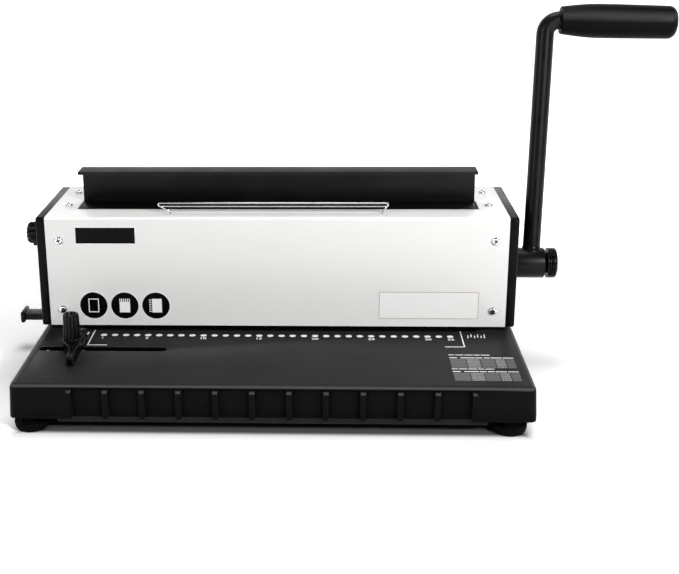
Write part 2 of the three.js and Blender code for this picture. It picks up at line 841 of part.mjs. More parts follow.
function placedScrew(name, axis, outward, place) {
  const head = screwHeadDiameter / 2;
  const profile = [
    [-screwLength, 0],
    [-screwLength, screwShank / 2],
    [faceGap, screwShank / 2],
    [faceGap, head],
    [faceGap + screwHeadHeight / 2, head],
    [faceGap + screwHeadHeight, head * screwCrownShare],
    [faceGap + screwHeadHeight, 0],
  ].map(([along, radius]) => [outward * along, radius]);
  piece(name, turned(axis, profile, screwSides, place), chrome);
}

for (const [sideName, side] of sides) {
  for (const [level, z] of Object.entries(frontScrewLevels)) {
    placedScrew(`front_screw_${level}_${sideName}`, 'y', -1, [side * frontScrewX, bodyFront, z]);
  }
  for (const [place, y] of Object.entries(topScrewPlaces)) {
    placedScrew(`top_screw_${place}_${sideName}`, 'z', 1, [side * topScrewX, y, bodyTop]);
  }
}

// Die plate and pin guide plate: two steel bars with the same row of square holes, one below the
// sheets' gap and one above it. The paper stop lies between them, behind the holes.
const dieClearance = 0.15;
const postDiameter = 8;
const postInset = 9;
const pinStripEnd = 4.2;
const springDiameter = 11.6;
const springWire = 1.2;
const stopThickness = 3;
const stopHoleGap = 3.7;
const stopEndGap = 4.2;

const postX = barHalf - postInset;
const springPocket = springDiameter / 2 + seatGap + slidingGap;
const holePlaces = evenRow(postX - springPocket - pinStripEnd, pitchSpan / pitchesInSpan);
const stopFront = punchY + pinWidth / 2 + stopHoleGap;
const stopHalf = frameInner - stopEndGap;
const guidePlateHalf = frameInner - seatGap;

const plateY = [diePlateFront, diePlateRear];

function squareHoles(clearance, low, high) {
  const half = pinWidth / 2 + clearance;
  return holePlaces.map((x) => box([x - half, x + half], [punchY - half, punchY + half], [low, high]));
}

const diePlate = cut(
  box([-barHalf, barHalf], plateY, [diePlateBottom, baseTop]),
  ...squareHoles(dieClearance, diePlateBottom - cutOverrun, baseTop + cutOverrun),
);
piece('die_plate', diePlate, toolSteel);

const pinGuidePlate = cut(
  box([-guidePlateHalf, guidePlateHalf], plateY, [guidePlateBottom, guidePlateTop]),
  ...squareHoles(slidingGap, guidePlateBottom - cutOverrun, guidePlateTop + cutOverrun),
  ...sides.map(([, side]) => prism(
    'z',
    bore([side * postX, punchY], postDiameter / 2 + faceGap, roundSides),
    guidePlateBottom - cutOverrun,
    guidePlateTop + cutOverrun,
  )),
);
piece('pin_guide_plate', pinGuidePlate, toolSteel);

piece('paper_stop', box(
  [-stopHalf, stopHalf],
  [stopFront, stopFront + stopThickness],
  [baseTop + seatGap, bodyBottom],
), zincPlate);

// Punch pins: a row of square pins on one retainer strip.
const pinTip = guidePlateBottom + seatGap;
const stripHalf = holePlaces.at(-1) + pinStripEnd;
const pinComb = [
  [-stripHalf, stripTop],
  [-stripHalf, stripBottom],
  ...holePlaces.flatMap((x) => [
    [x - pinWidth / 2, stripBottom],
    [x - pinWidth / 2, pinTip],
    [x + pinWidth / 2, pinTip],
    [x + pinWidth / 2, stripBottom],
  ]),
  [stripHalf, stripBottom],
  [stripHalf, stripTop],
];
piece('punch_pins', prism('y', pinComb, punchY - pinWidth / 2, punchY + pinWidth / 2), toolSteel);

// Places of the jaw's legs, the cams and the anvil's legs, from the frame plates inwards.
const jawGuideDepth = 9.8;
const legThickness = 3;
const tabWidth = 9.5;
const camWidth = 8;
const camSideGap = 1;
const legSpacing = 4;
const anvilLegThickness = 3;
const anvilPadWidth = 5.5;
const punchLugWidth = 10;

const legOuter = frameInner - seatGap - jawGuideDepth - slidingGap;
const legInner = legOuter - legThickness;
const tabInner = legInner - tabWidth;
const closerCamX = legInner - camSideGap - camWidth / 2;
const anvilLegOuter = tabInner - legSpacing;
const anvilPadOuter = anvilLegOuter - anvilLegThickness;
const anvilLegInner = anvilPadOuter - anvilPadWidth;
const punchLugX = anvilLegInner - legSpacing - punchLugWidth / 2;

// Punch bar: the heavy bar that drives the pins. Its two lugs reach back under the cams.
const punchBarDepth = 14;
const punchBarHeight = 17.3;
const springPocketDepth = 10;
const postSlack = 8;

const punchBarTop = punchBarBottom + punchBarHeight;
const punchBarFront = punchY - punchBarDepth / 2;
const punchBarRear = punchY + punchBarDepth / 2;
const lugRear = shaftY + camRestRadius;
const pocketTop = punchBarBottom + springPocketDepth;

const punchBar = cut(
  join(
    box([-barHalf, barHalf], [punchBarFront, punchBarRear], [punchBarBottom, punchBarTop]),
    ...sides.map(([, side]) => box(
      reach(side, punchLugX - punchLugWidth / 2, punchLugX + punchLugWidth / 2),
      [punchY, lugRear],
      [punchBarBottom, lugTop],
    )),
  ),
  ...sides.flatMap(([, side]) => [
    prism(
      'z',
      bore([side * postX, punchY], postDiameter / 2 + runningGap, roundSides),
      punchBarBottom - cutOverrun,
      punchBarTop + cutOverrun,
    ),
    prism('z', bore([side * postX, punchY], springPocket, 20), punchBarBottom - cutOverrun, pocketTop),
  ]),
);
piece('punch_bar', punchBar, toolSteel);

for (const [name, side] of sides) {
  const place = [side * postX, punchY, 0];
  const postTop = punchBarTop + postSlack;
  const post = turned('z', [
    [guidePlateBottom, 0],
    [guidePlateBottom, postDiameter / 2],
    [postTop, postDiameter / 2],
    [postTop, 0],
  ], roundSides, place);
  piece(`punch_post_${name}`, post, zincPlate);
  const [low, high] = [guidePlateTop + slidingGap, pocketTop - slidingGap];
  const outer = springDiameter / 2;
  const inner = outer - springWire;
  const spring = turned('z', [[low, inner], [low, outer], [high, outer], [high, inner]], roundSides, place);
  piece(`punch_spring_${name}`, spring, zincPlate);
}

// Cams. A flat follower on an involute moves in step with the turn, so the face that pushes is an
// involute: it starts at the rest radius and rises evenly over the travel. The heel is round.
function cam([y, z], restRadius, rise, travelDegrees, towards, marginDegrees) {
  const travel = degrees(travelDegrees);
  const margin = degrees(marginDegrees);
  const lead = rise / travel;
  const facing = degrees(towards);
  const start = facing + margin;
  const end = facing - travel - margin;
  const support = (angle) => restRadius + lead * (facing - angle);
  const point = (angle) => {
    const h = support(angle);
    return [
      y + h * Math.cos(angle) + lead * Math.sin(angle),
      z + h * Math.sin(angle) - lead * Math.cos(angle),
    ];
  };
  const faceSteps = Math.round(travelDegrees / degreesPerFace);
  const face = Array.from({ length: faceSteps + 1 }, (_, i) => point(start + (end - start) * i / faceSteps));
  const heel = support(start);
  const nose = Math.hypot(support(end), lead);
  const touch = end - Math.atan2(lead, support(end)) - Math.acos(heel / nose);
  const back = start - 2 * Math.PI;
  const heelArc = touch > back
    ? Array.from({ length: heelSteps + 1 }, (_, i) => {
      const angle = touch + (back - touch) * i / heelSteps;
      return [y + heel * Math.cos(angle), z + heel * Math.sin(angle)];
    })
    : [];
  return [...face, ...heelArc];
}

// Drive shaft, its two flanged bushes and the cams on it.
const shaftEndSlack = 3.5;
const hubSeatDiameter = 10;
const bushFlangeDiameter = 21;
const bushFlangeThickness = 2;
const bushInset = 2;
const camMarginDegrees = 8;
const hubWasherThickness = 1.5;
const hubLength = 26;
const hubBoreEnd = 1.5;

const hubWasherInner = halfWidth + seatGap;
const hubWasherOuter = hubWasherInner + hubWasherThickness;
const hubInner = hubWasherOuter + seatGap;
const hubOuter = hubInner + hubLength;
const shaftRadius = shaftDiameter / 2;
const shaftLeft = -frameFace - bushFlangeThickness - shaftEndSlack;
const shaftPlace = [0, shaftY, shaftZ];
const driveShaft = turned('x', [
  [shaftLeft, 0],
  [shaftLeft, shaftRadius],
  [hubWasherOuter, shaftRadius],
  [hubWasherOuter, hubSeatDiameter / 2],
  [hubOuter - hubBoreEnd - seatGap, hubSeatDiameter / 2],
  [hubOuter - hubBoreEnd - seatGap, 0],
], roundSides, shaftPlace);
piece('drive_shaft', driveShaft, toolSteel);

const boreRadius = (shaftRadius + runningGap) / Math.cos(Math.PI / roundSides);
for (const [name, side] of sides) {
  const flangeFace = frameFace + seatGap;
  const bush = turned('x', [
    [side * (frameInner - bushInset), boreRadius],
    [side * (frameInner - bushInset), bushDiameter / 2],
    [side * flangeFace, bushDiameter / 2],
    [side * flangeFace, bushFlangeDiameter / 2],
    [side * (flangeFace + bushFlangeThickness), bushFlangeDiameter / 2],
    [side * (flangeFace + bushFlangeThickness), boreRadius],
  ], roundSides, shaftPlace);
  piece(`shaft_bush_${name}`, bush, bronze);

  const shaftBore = [bore([shaftY, shaftZ], shaftRadius + runningGap, roundSides)];
  const centre = [shaftY, shaftZ];
  const punchFace = cam(centre, camRestRadius, punchStroke, handleTravelDegrees, -90, camMarginDegrees);
  const punchSpan = reach(side, punchLugX - camWidth / 2, punchLugX + camWidth / 2);
  piece(`punch_cam_${name}`, prism('x', punchFace, ...punchSpan, shaftBore), toolSteel);
  const closerFace = cam(centre, camRestRadius, closerStroke, handleTravelDegrees, -90, camMarginDegrees);
  const closerSpan = reach(side, closerCamX - camWidth / 2, closerCamX + camWidth / 2);
  piece(`closer_cam_${name}`, prism('x', closerFace, ...closerSpan, shaftBore), toolSteel);
}

// Closer jaw: a folded steel angle. Its web comes up through the top, and its flange overhangs the
// opening. Two legs hang from the web, each with a slot round the shaft and a tab under its cam.
// The web's lower corners are notched, so that it comes down between the guides of the legs.
const jawBendRadius = 2.6;
const guideAboveShaft = 4.5;
const guideHeight = 13;
const legWidth = 21.2;
const legSlotGap = 0.4;
const legShoulderHeight = 7;
const legFootWidth = 10;
const legFootBelowTop = 5;
const legFootHeight = 12;
const tabThickness = 6;
const tabRearBehindShaft = 27;

const jawTop = bodyTop + jawOpening + jawSheet;
const jawFront = jawRear - jawFlangeDepth;
const legSlotHalf = shaftRadius + legSlotGap;
const legSlotTop = shaftZ + legSlotHalf + closerStroke;
const legShoulder = legSlotTop + legShoulderHeight;
const webBottom = legShoulder + seatGap;
const tabTop = shaftZ - camRestRadius - seatGap;
const tabBottom = tabTop - tabThickness;
const legFront = shaftY - legWidth / 2;
const legRear = shaftY + legWidth / 2;
const legTop = frameTop - legFootBelowTop;
const jawGuideBottom = shaftZ + shaftRadius + guideAboveShaft;
const jawGuideTop = jawGuideBottom + guideHeight;
const jawNotchTop = jawGuideTop + closerStroke + seatGap;

function jawSection() {
  const outer = jawBendRadius;
  const inner = outer - jawSheet;
  const centre = [jawRear - outer, jawTop - outer];
  return [
    [jawRear, webBottom],
    ...arc(centre, outer, 0, 90, cornerSteps),
    [jawFront, jawTop],
    [jawFront, jawTop - jawSheet],
    ...arc(centre, inner, 90, 0, 1),
    [jawWebFront, webBottom],
  ];
}
const closerJaw = cut(
  prism('x', jawSection(), -barHalf, barHalf),
  ...sides.map(([, side]) => box(
    reach(side, legOuter, barHalf + cutOverrun),
    [jawWebFront - cutOverrun, jawRear + cutOverrun],
    [webBottom - cutOverrun, jawNotchTop],
  )),
);
piece('closer_jaw', closerJaw, blackEnamel);

for (const [name, side] of sides) {
  const upperFront = jawRear + seatGap;
  const outline = [
    [legFront, tabBottom],
    [legRear, tabBottom],
    [legRear, legTop],
    [upperFront, legTop],
    [upperFront, legShoulder],
    [legFront, legShoulder],
  ];
  const slot = rectangle([shaftY - legSlotHalf, shaftY + legSlotHalf], [shaftZ - legSlotHalf, legSlotTop]);
  const leg = join(
    prism('x', outline, ...reach(side, legInner, legOuter), [slot]),
    box(
      reach(side, tabInner, legInner + legThickness / 2),
      [legFront, shaftY + tabRearBehindShaft],
      [tabBottom, tabTop],
    ),
    box(
      reach(side, legInner - legFootWidth, legInner + legThickness / 2),
      [upperFront, upperFront + legThickness],
      [legTop - legFootHeight, legTop],
    ),
  );
  piece(`jaw_leg_${name}`, leg, zincPlate);
}

// Jaw guides: steel channels on the frame plates that the legs slide in.
const guideLip = 5;

for (const [name, side] of sides) {
  const front = legFront - slidingGap;
  const rear = legRear + slidingGap;
  const mouth = side * legInner;
  const back = side * (legOuter + slidingGap);
  const wall = side * (frameInner - seatGap);
  const channel = [
    [mouth, front],
    [mouth, front - guideLip],
    [wall, front - guideLip],
    [wall, rear + guideLip],
    [mouth, rear + guideLip],
    [mouth, rear],
    [back, rear],
    [back, front],
  ];
  piece(`jaw_guide_${name}`, prism('z', channel, jawGuideBottom, jawGuideTop), zincPlate);
}

// Jaw springs: close-wound springs that hang on the tie bar and draw the jaw's tabs up.
const jawSpringDiameter = 8;
const jawSpringWire = 1.2;
const jawSpringX = (tabInner + legInner) / 2;

for (const [name, side] of sides) {
  const outer = jawSpringDiameter / 2;
  const inner = outer - jawSpringWire;
  const low = tabTop + slidingGap;
  const high = tieBarZ - tieBarDiameter / 2 - slidingGap;
  const spring = turned(
    'z',
    [[low, inner], [low, outer], [high, outer], [high, inner]],
    14,
    [side * jawSpringX, tieBarY, 0],
  );
  piece(`jaw_spring_${name}`, spring, zincPlate);
}

// Anvil: the black lower jaw that fills the top opening. Each of its two legs has a slot round the
// adjuster shaft and a pad that rests on an anvil cam.
const anvilPlate = 2.3;
const anvilFrontGap = 0.6;
const anvilRearGap = 0.5;
const anvilLegDepth = 16;
const anvilCamRest = 4.5;
const anvilCamWidth = 4.5;
const anvilCamMarginDegrees = 4;
const anvilSlotGap = 0.3;
const anvilLegEnd = 3.6;

const adjusterRadius = adjusterDiameter / 2;
const padBottom = adjusterZ + anvilCamRest + seatGap;
const anvilSlotHalf = adjusterRadius + anvilSlotGap;
const anvilSlotBottom = adjusterZ - anvilSlotHalf - anvilLift;
const anvilLegY = [adjusterY - anvilLegDepth / 2, adjusterY + anvilLegDepth / 2];
const underAnvil = bodyTop - anvilPlate / 2;

function anvilLeg(side) {
  const slot = rectangle(
    [adjusterY - anvilSlotHalf, adjusterY + anvilSlotHalf],
    [anvilSlotBottom, adjusterZ + anvilSlotHalf],
  );
  return join(
    box(
      reach(side, anvilLegInner, anvilPadOuter + anvilLegThickness / 2),
      anvilLegY,
      [padBottom, underAnvil],
    ),
    prism(
      'x',
      rectangle(anvilLegY, [anvilSlotBottom - anvilLegEnd, underAnvil]),
      ...reach(side, anvilPadOuter, anvilLegOuter),
      [slot],
    ),
  );
}

const anvil = join(
  box(
    [-barHalf, barHalf],
    [openingFront + anvilFrontGap, jawWebFront - anvilRearGap],
    [bodyTop - anvilPlate, bodyTop],
  ),
  ...sides.map(([, side]) => anvilLeg(side)),
);
piece('anvil', anvil, blackEnamel);

// Adjuster: a thin shaft across the machine, turned by the knob at the left, with two anvil cams. A
// short pointer on the knob shows how far it is turned.
const adjusterKnobDiameter = 17;
const adjusterSkirtDiameter = 20;
const adjusterSkirtThickness = 2;
const adjusterKnobLength = 14;
const adjusterPointerReach = 10.4;
const adjusterPointerWidth = 6;
const adjusterPointerTip = 3;
const adjusterPointerLength = 10.4;
const adjusterFluteCount = 12;
const adjusterFluteDepth = 0.9;
const adjusterKnobRound = 2.5;
const knobBoreEnd = 2.5;

const knobInner = -halfWidth - seatGap;
const knobOuter = knobInner - adjusterKnobLength;
const adjusterLeft = knobOuter + knobBoreEnd + seatGap;
const adjusterRight = frameFace + seatGap;
const adjusterOutline = circle([adjusterY, adjusterZ], adjusterRadius, roundSides);
piece('adjuster_shaft', prism('x', adjusterOutline, adjusterLeft, adjusterRight), zincPlate);

for (const [name, side] of sides) {
  const face = cam(
    [adjusterY, adjusterZ],
    anvilCamRest,
    anvilLift,
    adjusterTravelDegrees,
    90,
    anvilCamMarginDegrees,
  );
  const middle = anvilLegInner + anvilPadWidth / 2;
  const span = reach(side, middle - anvilCamWidth / 2, middle + anvilCamWidth / 2);
  const hole = [bore([adjusterY, adjusterZ], adjusterRadius + runningGap, roundSides)];
  piece(`anvil_cam_${name}`, prism('x', face, ...span, hole), toolSteel);
}

const knobCentre = [adjusterY, adjusterZ];
const knobRadius = adjusterKnobDiameter / 2;
const knobRound = turned('x', [
  [knobInner, 0],
  [knobInner, knobRadius],
  ...[0, 45, 90].map((angle) => [
    knobOuter + adjusterKnobRound * (1 - Math.sin(degrees(angle))),
    knobRadius - adjusterKnobRound * (1 - Math.cos(degrees(angle))),
  ]),
  [knobOuter, 0],
], fineSides, [0, ...knobCentre]);
const knobFlutes = flutedOutline(knobCentre, knobRadius, adjusterFluteDepth, adjusterFluteCount);
const knobSkirt = circle(knobCentre, adjusterSkirtDiameter / 2, fineSides);
const knobPointer = [
  [adjusterY - adjusterPointerWidth / 2, adjusterZ],
  [adjusterY - adjusterPointerTip / 2, adjusterZ - adjusterPointerReach],
  [adjusterY + adjusterPointerTip / 2, adjusterZ - adjusterPointerReach],
  [adjusterY + adjusterPointerWidth / 2, adjusterZ],
];
const knobBore = bore(knobCentre, adjusterRadius + runningGap, roundSides);
const adjusterKnob = cut(
  join(
    knobRound.intersect(prism('x', knobFlutes, knobOuter - cutOverrun, knobInner)),
    prism('x', knobSkirt, knobInner - adjusterSkirtThickness, knobInner),
    prism('x', knobPointer, knobInner - adjusterPointerLength, knobInner),
  ),
  prism('x', knobBore, knobOuter + knobBoreEnd, knobInner + cutOverrun),
);
piece('adjuster_knob', adjusterKnob, blackPlastic);

// Handle: a hub on the shaft's right end, with a washer behind it and a ribbed cap on its end. The
// rod stands in the hub, leans back and out, and turns through a bend into the grip.
const hubMiddle = 15.8;
const hubChamfer = 0.8;
const capLength = 9.1;
const capNeckDiameter = 17;
const capNeckLength = 1.8;
const capRound = 3.6;
const capGrooveCount = 2;
const capGrooveDepth = 0.5;
const capGrooveWidth = 0.9;
const handleLeanDegrees = 9;
const handleSplayDegrees = 1.9;
const gripDroopDegrees = 1.5;
const bendRadius = 10.5;
const bendSteps = 7;
const rodSocketDepth = 4.2;
const gripBeyondBend = 0.3;
const gripBoreEnd = 9;
const gripNeckDiameter = 20.8;
const gripTailDiameter = 24.6;
const gripSwellLength = 30;
const gripSwellSteps = 4;
const gripEndRadius = 6;

const hubRadius = hubDiameter / 2;
const capInner = hubOuter + seatGap;
const capOuter = capInner + capLength;
const hubX = hubInner + hubMiddle;

const washer = turned('x', [
  [hubWasherInner, boreRadius],
  [hubWasherInner, hubRadius],
  [hubWasherOuter, hubRadius],
  [hubWasherOuter, boreRadius],
], fineSides, shaftPlace);
piece('hub_washer', washer, zincPlate);

function capProfile() {
  const grooveStart = capInner + capNeckLength + capGrooveWidth;
  const grooves = Array.from({ length: capGrooveCount }, (_, i) => {
    const x = grooveStart + 2 * i * capGrooveWidth;
    return [
      [x, hubRadius],
      [x, hubRadius - capGrooveDepth],
      [x + capGrooveWidth, hubRadius - capGrooveDepth],
      [x + capGrooveWidth, hubRadius],
    ];
  });
  const round = [90, 45, 0].map((angle) => [
    capOuter - capRound * (1 - Math.cos(degrees(angle))),
    hubRadius - capRound * (1 - Math.sin(degrees(angle))),
  ]);
  return [
    [capInner, 0],
    [capInner, capNeckDiameter / 2],
    [capInner + capNeckLength, capNeckDiameter / 2],
    [capInner + capNeckLength, hubRadius],
    ...grooves.flat(),
    ...round,
    [capOuter, 0],
  ];
}
piece('hub_cap', turned('x', capProfile(), 24, shaftPlace), blackPlastic);

const lean = degrees(handleLeanDegrees);
const splay = degrees(handleSplayDegrees);
const droop = degrees(gripDroopDegrees);
const rodDirection = new THREE.Vector3(Math.sin(splay), Math.sin(lean), Math.cos(lean)).normalize();
const gripDirection = new THREE.Vector3(Math.cos(droop), 0, -Math.sin(droop));
const bendInward = gripDirection.clone()
  .addScaledVector(rodDirection, -gripDirection.dot(rodDirection))
  .normalize();
const bendAngle = gripDirection.angleTo(rodDirection);
const hubPoint = new THREE.Vector3(hubX, shaftY, shaftZ);
const onRod = (distance) => hubPoint.clone().addScaledVector(rodDirection, distance);
const rodStart = hubRadius - rodSocketDepth + seatGap;
const bendStart = handleReach - bendRadius;
const bendCentre = onRod(bendStart).addScaledVector(bendInward, bendRadius);

const bendStations = Array.from({ length: bendSteps + 1 }, (_, i) => {
  const angle = bendAngle * i / bendSteps;
  return {
    point: bendCentre.clone()
      .addScaledVector(bendInward, -bendRadius * Math.cos(angle))
      .addScaledVector(rodDirection, bendRadius * Math.sin(angle)),
    direction: rodDirection.clone()
      .multiplyScalar(Math.cos(angle))
      .addScaledVector(bendInward, Math.sin(angle)),
  };
});
const bendEnd = bendStations[bendSteps].point;
const onGrip = (distance) => bendEnd.clone().addScaledVector(gripDirection, distance);
const rodEnd = gripBeyondBend + gripLength - gripBoreEnd - seatGap;
const rodStations = [
  { point: onRod(rodStart), direction: rodDirection },
  ...bendStations,
  { point: onGrip(rodEnd), direction: gripDirection },
];
piece('handle_rod', bar(rodStations, handleRodDiameter / 2, roundSides), blackEnamel);

const socket = bar([
  { point: onRod(hubRadius - rodSocketDepth), direction: rodDirection },
  { point: onRod(hubDiameter), direction: rodDirection },
], handleRodDiameter / 2 + seatGap, roundSides);
const hubBore = hubSeatDiameter / 2 + faceGap;
const handleHub = cut(
  turned('x', [
    [hubInner, 0],
    [hubInner, hubRadius - hubChamfer],
    [hubInner + hubChamfer, hubRadius],
    [hubOuter - hubChamfer, hubRadius],
    [hubOuter, hubRadius - hubChamfer],
    [hubOuter, 0],
  ], fineSides, shaftPlace),
  prism('x', bore([shaftY, shaftZ], hubBore, roundSides), hubInner - cutOverrun, hubOuter - hubBoreEnd),
  socket,
);
piece('handle_hub', handleHub, blackEnamel);

// Grip: a soft sleeve over the rod's end, slimmer where it starts and round at its end.
const gripRadius = gripDiameter / 2;
const gripNeck = gripNeckDiameter / 2;
const gripTail = gripTailDiameter / 2;
const gripBore = (handleRodDiameter / 2 + faceGap) / Math.cos(Math.PI / roundSides);
const gripSwell = Array.from({ length: gripSwellSteps + 1 }, (_, i) => [
  gripSwellLength * i / gripSwellSteps,
  gripNeck + (gripRadius - gripNeck) * Math.sin(degrees(90 * i / gripSwellSteps)),
]);
const gripProfile = [
  [0, gripBore],
  ...gripSwell,
  ...[90, 60, 30, 0].map((angle) => [
    gripLength - gripEndRadius * (1 - Math.cos(degrees(angle))),
    gripTail - gripEndRadius * (1 - Math.sin(degrees(angle))),
  ]),
  [gripLength, 0],
  [gripLength - gripBoreEnd, 0],
  [gripLength - gripBoreEnd, gripBore],
];
const gripTurn = new THREE.Quaternion().setFromUnitVectors(unitX, gripDirection);
const gripMesh = turned('x', gripProfile, 20).getMesh();
const gripGeometry = new THREE.BufferGeometry();
gripGeometry.setAttribute('position', new THREE.BufferAttribute(gripMesh.vertProperties, 3));
gripGeometry.setIndex(new THREE.BufferAttribute(gripMesh.triVerts, 1));
gripGeometry.applyQuaternion(gripTurn).translate(...onGrip(gripBeyondBend).toArray());
piece('handle_grip', solid(gripGeometry), blackPlastic);

// Wire holder: a bright wire form on the front of the top, with two rails that a comb hangs on.
const railTopAbove = 8.2;
const railPitch = 2.2;
const railLeftReach = 9.3;
const railRightReach = 4.9;
const wireFootDepth = 4;
const wireSides = 8;
const railTurnSteps = 4;

// One end of the form, from the foot up to the upper rail. Outwards is positive here on both sides.
function wireEnd(side, turnCentre, turnRadius) {
  const at = ([out, z]) => new THREE.Vector3(side * out, wireHolderY, z);
  const along = (out, z) => new THREE.Vector3(side * out, 0, z);
  const foot = [wireHolderX, bodyTop + wireDiameter];
  const [out, up] = [foot[0] - turnCentre[0], foot[1] - turnCentre[1]];
  const touch = Math.atan2(up, out) + Math.acos(turnRadius / Math.hypot(out, up));
  const turn = Array.from({ length: railTurnSteps + 1 }, (_, i) => {
    const angle = touch + (Math.PI / 2 - touch) * i / railTurnSteps;
    const [cos, sin] = [Math.cos(angle), Math.sin(angle)];
    return {
      point: at([turnCentre[0] + turnRadius * cos, turnCentre[1] + turnRadius * sin]),
      direction: along(-sin, cos),
    };
  });
  return [
    { point: at([wireHolderX, bodyTop - wireFootDepth]), direction: unitZ },
    { point: at(foot), direction: turn[0].direction.clone().add(unitZ) },
    ...turn,
  ];
}

function wireHolder() {
  const wire = wireDiameter / 2;
  const turnRadius = railPitch / 2;
  const turnZ = bodyTop + railTopAbove - turnRadius;
  const turnLeft = wire + turnRadius - wireHolderX - railLeftReach;
  const turnRight = wireHolderX + railRightReach - wire - turnRadius;
  const left = wireEnd(-1, [-turnLeft, turnZ], turnRadius);
  const right = wireEnd(1, [turnRight, turnZ], turnRadius).reverse()
    .map(({ point, direction }) => ({ point, direction: direction.clone().negate() }));
  const lowerRail = [turnLeft, turnRight].map((x) => ({
    point: new THREE.Vector3(x, wireHolderY, turnZ - turnRadius),
    direction: unitX,
  }));
  return join(bar([...left, ...right], wire, wireSides), bar(lowerRail, wire, wireSides));
}
piece('wire_holder', wireHolder(), chrome);

// The finished machine stands on z = 0, with its origin in the middle of its outline from above.
const bounds = new THREE.Box3().setFromObject(machine);
const middle = bounds.getCenter(new THREE.Vector3());
machine.position.set(-middle.x, -middle.y, -bounds.min.z);

export default machine;
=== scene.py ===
# A hand-operated wire binding machine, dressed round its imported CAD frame. Lengths are in metres.
# x runs to the right, y to the back and z up from the desk.
import math

import bmesh
import bpy
from mathutils import Matrix, Vector


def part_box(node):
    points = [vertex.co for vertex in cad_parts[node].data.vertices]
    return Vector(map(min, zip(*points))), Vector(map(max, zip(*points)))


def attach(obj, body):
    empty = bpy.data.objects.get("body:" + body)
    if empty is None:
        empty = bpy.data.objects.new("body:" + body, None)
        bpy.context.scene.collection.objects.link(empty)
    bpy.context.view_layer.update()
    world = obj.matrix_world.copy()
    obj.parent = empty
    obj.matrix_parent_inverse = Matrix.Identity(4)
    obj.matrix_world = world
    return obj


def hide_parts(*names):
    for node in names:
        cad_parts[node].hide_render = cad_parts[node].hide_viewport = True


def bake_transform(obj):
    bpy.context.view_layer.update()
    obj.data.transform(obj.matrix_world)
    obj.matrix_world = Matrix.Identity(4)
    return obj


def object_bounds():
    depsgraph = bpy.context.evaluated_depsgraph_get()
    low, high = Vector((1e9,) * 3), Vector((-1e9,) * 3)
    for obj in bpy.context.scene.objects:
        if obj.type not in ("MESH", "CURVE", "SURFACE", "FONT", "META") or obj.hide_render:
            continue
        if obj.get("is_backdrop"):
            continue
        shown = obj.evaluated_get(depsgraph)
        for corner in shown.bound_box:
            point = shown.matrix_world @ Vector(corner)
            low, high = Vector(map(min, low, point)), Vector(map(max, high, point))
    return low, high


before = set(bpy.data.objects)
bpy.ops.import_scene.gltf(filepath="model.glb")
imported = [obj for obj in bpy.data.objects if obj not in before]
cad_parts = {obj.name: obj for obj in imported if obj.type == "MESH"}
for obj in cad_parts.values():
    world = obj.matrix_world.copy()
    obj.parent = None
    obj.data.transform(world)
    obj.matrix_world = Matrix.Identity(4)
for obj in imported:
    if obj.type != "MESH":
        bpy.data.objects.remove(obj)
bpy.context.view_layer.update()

# Camera. A lens a little longer than normal looks down on the machine from just right of its middle.
# Its stand is measured from the top of the base's front face.
base_low, base_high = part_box("base_shell")
middle_x = (base_low.x + base_high.x) / 2
lens = bpy.data.cameras.new("camera")
lens.sensor_width = 36
lens.lens = 63.6
lens.shift_x = 0.098
lens.shift_y = -0.0038
lens.clip_start = 0.05
lens.clip_end = 120
camera = bpy.data.objects.new("camera", lens)
to_right = Vector((0.99899, 0.04381, -0.01083))
to_top = Vector((-0.00344, 0.31314, 0.94972))
to_back = Vector((0.04500, -0.94871, 0.31295))
stand_right = 0.03849
stand_ahead = 0.75277
stand_above = 0.32146
stand = Vector((middle_x + stand_right, base_low.y - stand_ahead, base_high.z + stand_above))
aimed = Matrix((to_right, to_top, to_back)).transposed().to_4x4()
camera.matrix_world = Matrix.Translation(stand) @ aimed
scene = bpy.context.scene
scene.collection.objects.link(camera)
scene.camera = camera
scene.view_settings.view_transform = "Standard"

# Studio. White paper lies under the machine and is swept up behind it, in a dark room with lamps at
# the upper right, at the upper left and overhead. Where the paper is seen it is lifted to white, and
# under the base it is darkened by a painted shadow, deepest furthest in from the base's edges.
room_strength = 0.15
paper_white = 0.42
paper_seen = 1.3
lift_from = 0.25
lift_to = 0.7
painted_shadow_from = 0.0005
painted_shadow_to = 0.0087
painted_shadow_share = 0.08
paper_reach = 40
wall_y = 2.2
wall_height = 2.8
wall_bend = 0.6
lamp_aim_height = 0.08
lamps = {
    "lamp_right": ((0.85, -1.2, 0.85), 0.25, 21.5),
    "lamp_left": ((-1.05, -0.9, 0.8), 0.25, 7.0),
    "lamp_above": ((0.0, 0.3, 1.6), 0.75, 11.0),
}

room = bpy.data.worlds.new("room")
room.use_nodes = True
room.node_tree.nodes["Background"].inputs["Color"].default_value = (1, 1, 1, 1)
room.node_tree.nodes["Background"].inputs["Strength"].default_value = room_strength
scene.world = room


def add_node(tree, kind, inputs=None, **settings):
    """Adds a shader node. Each input is a socket to link or a plain value."""
    node = tree.nodes.new(kind)
    for key, value in settings.items():
        setattr(node, key, value)
    for key, value in (inputs or {}).items():
        if isinstance(value, bpy.types.NodeSocket):
            tree.links.new(value, node.inputs[key])
        else:
            node.inputs[key].default_value = value
    return node


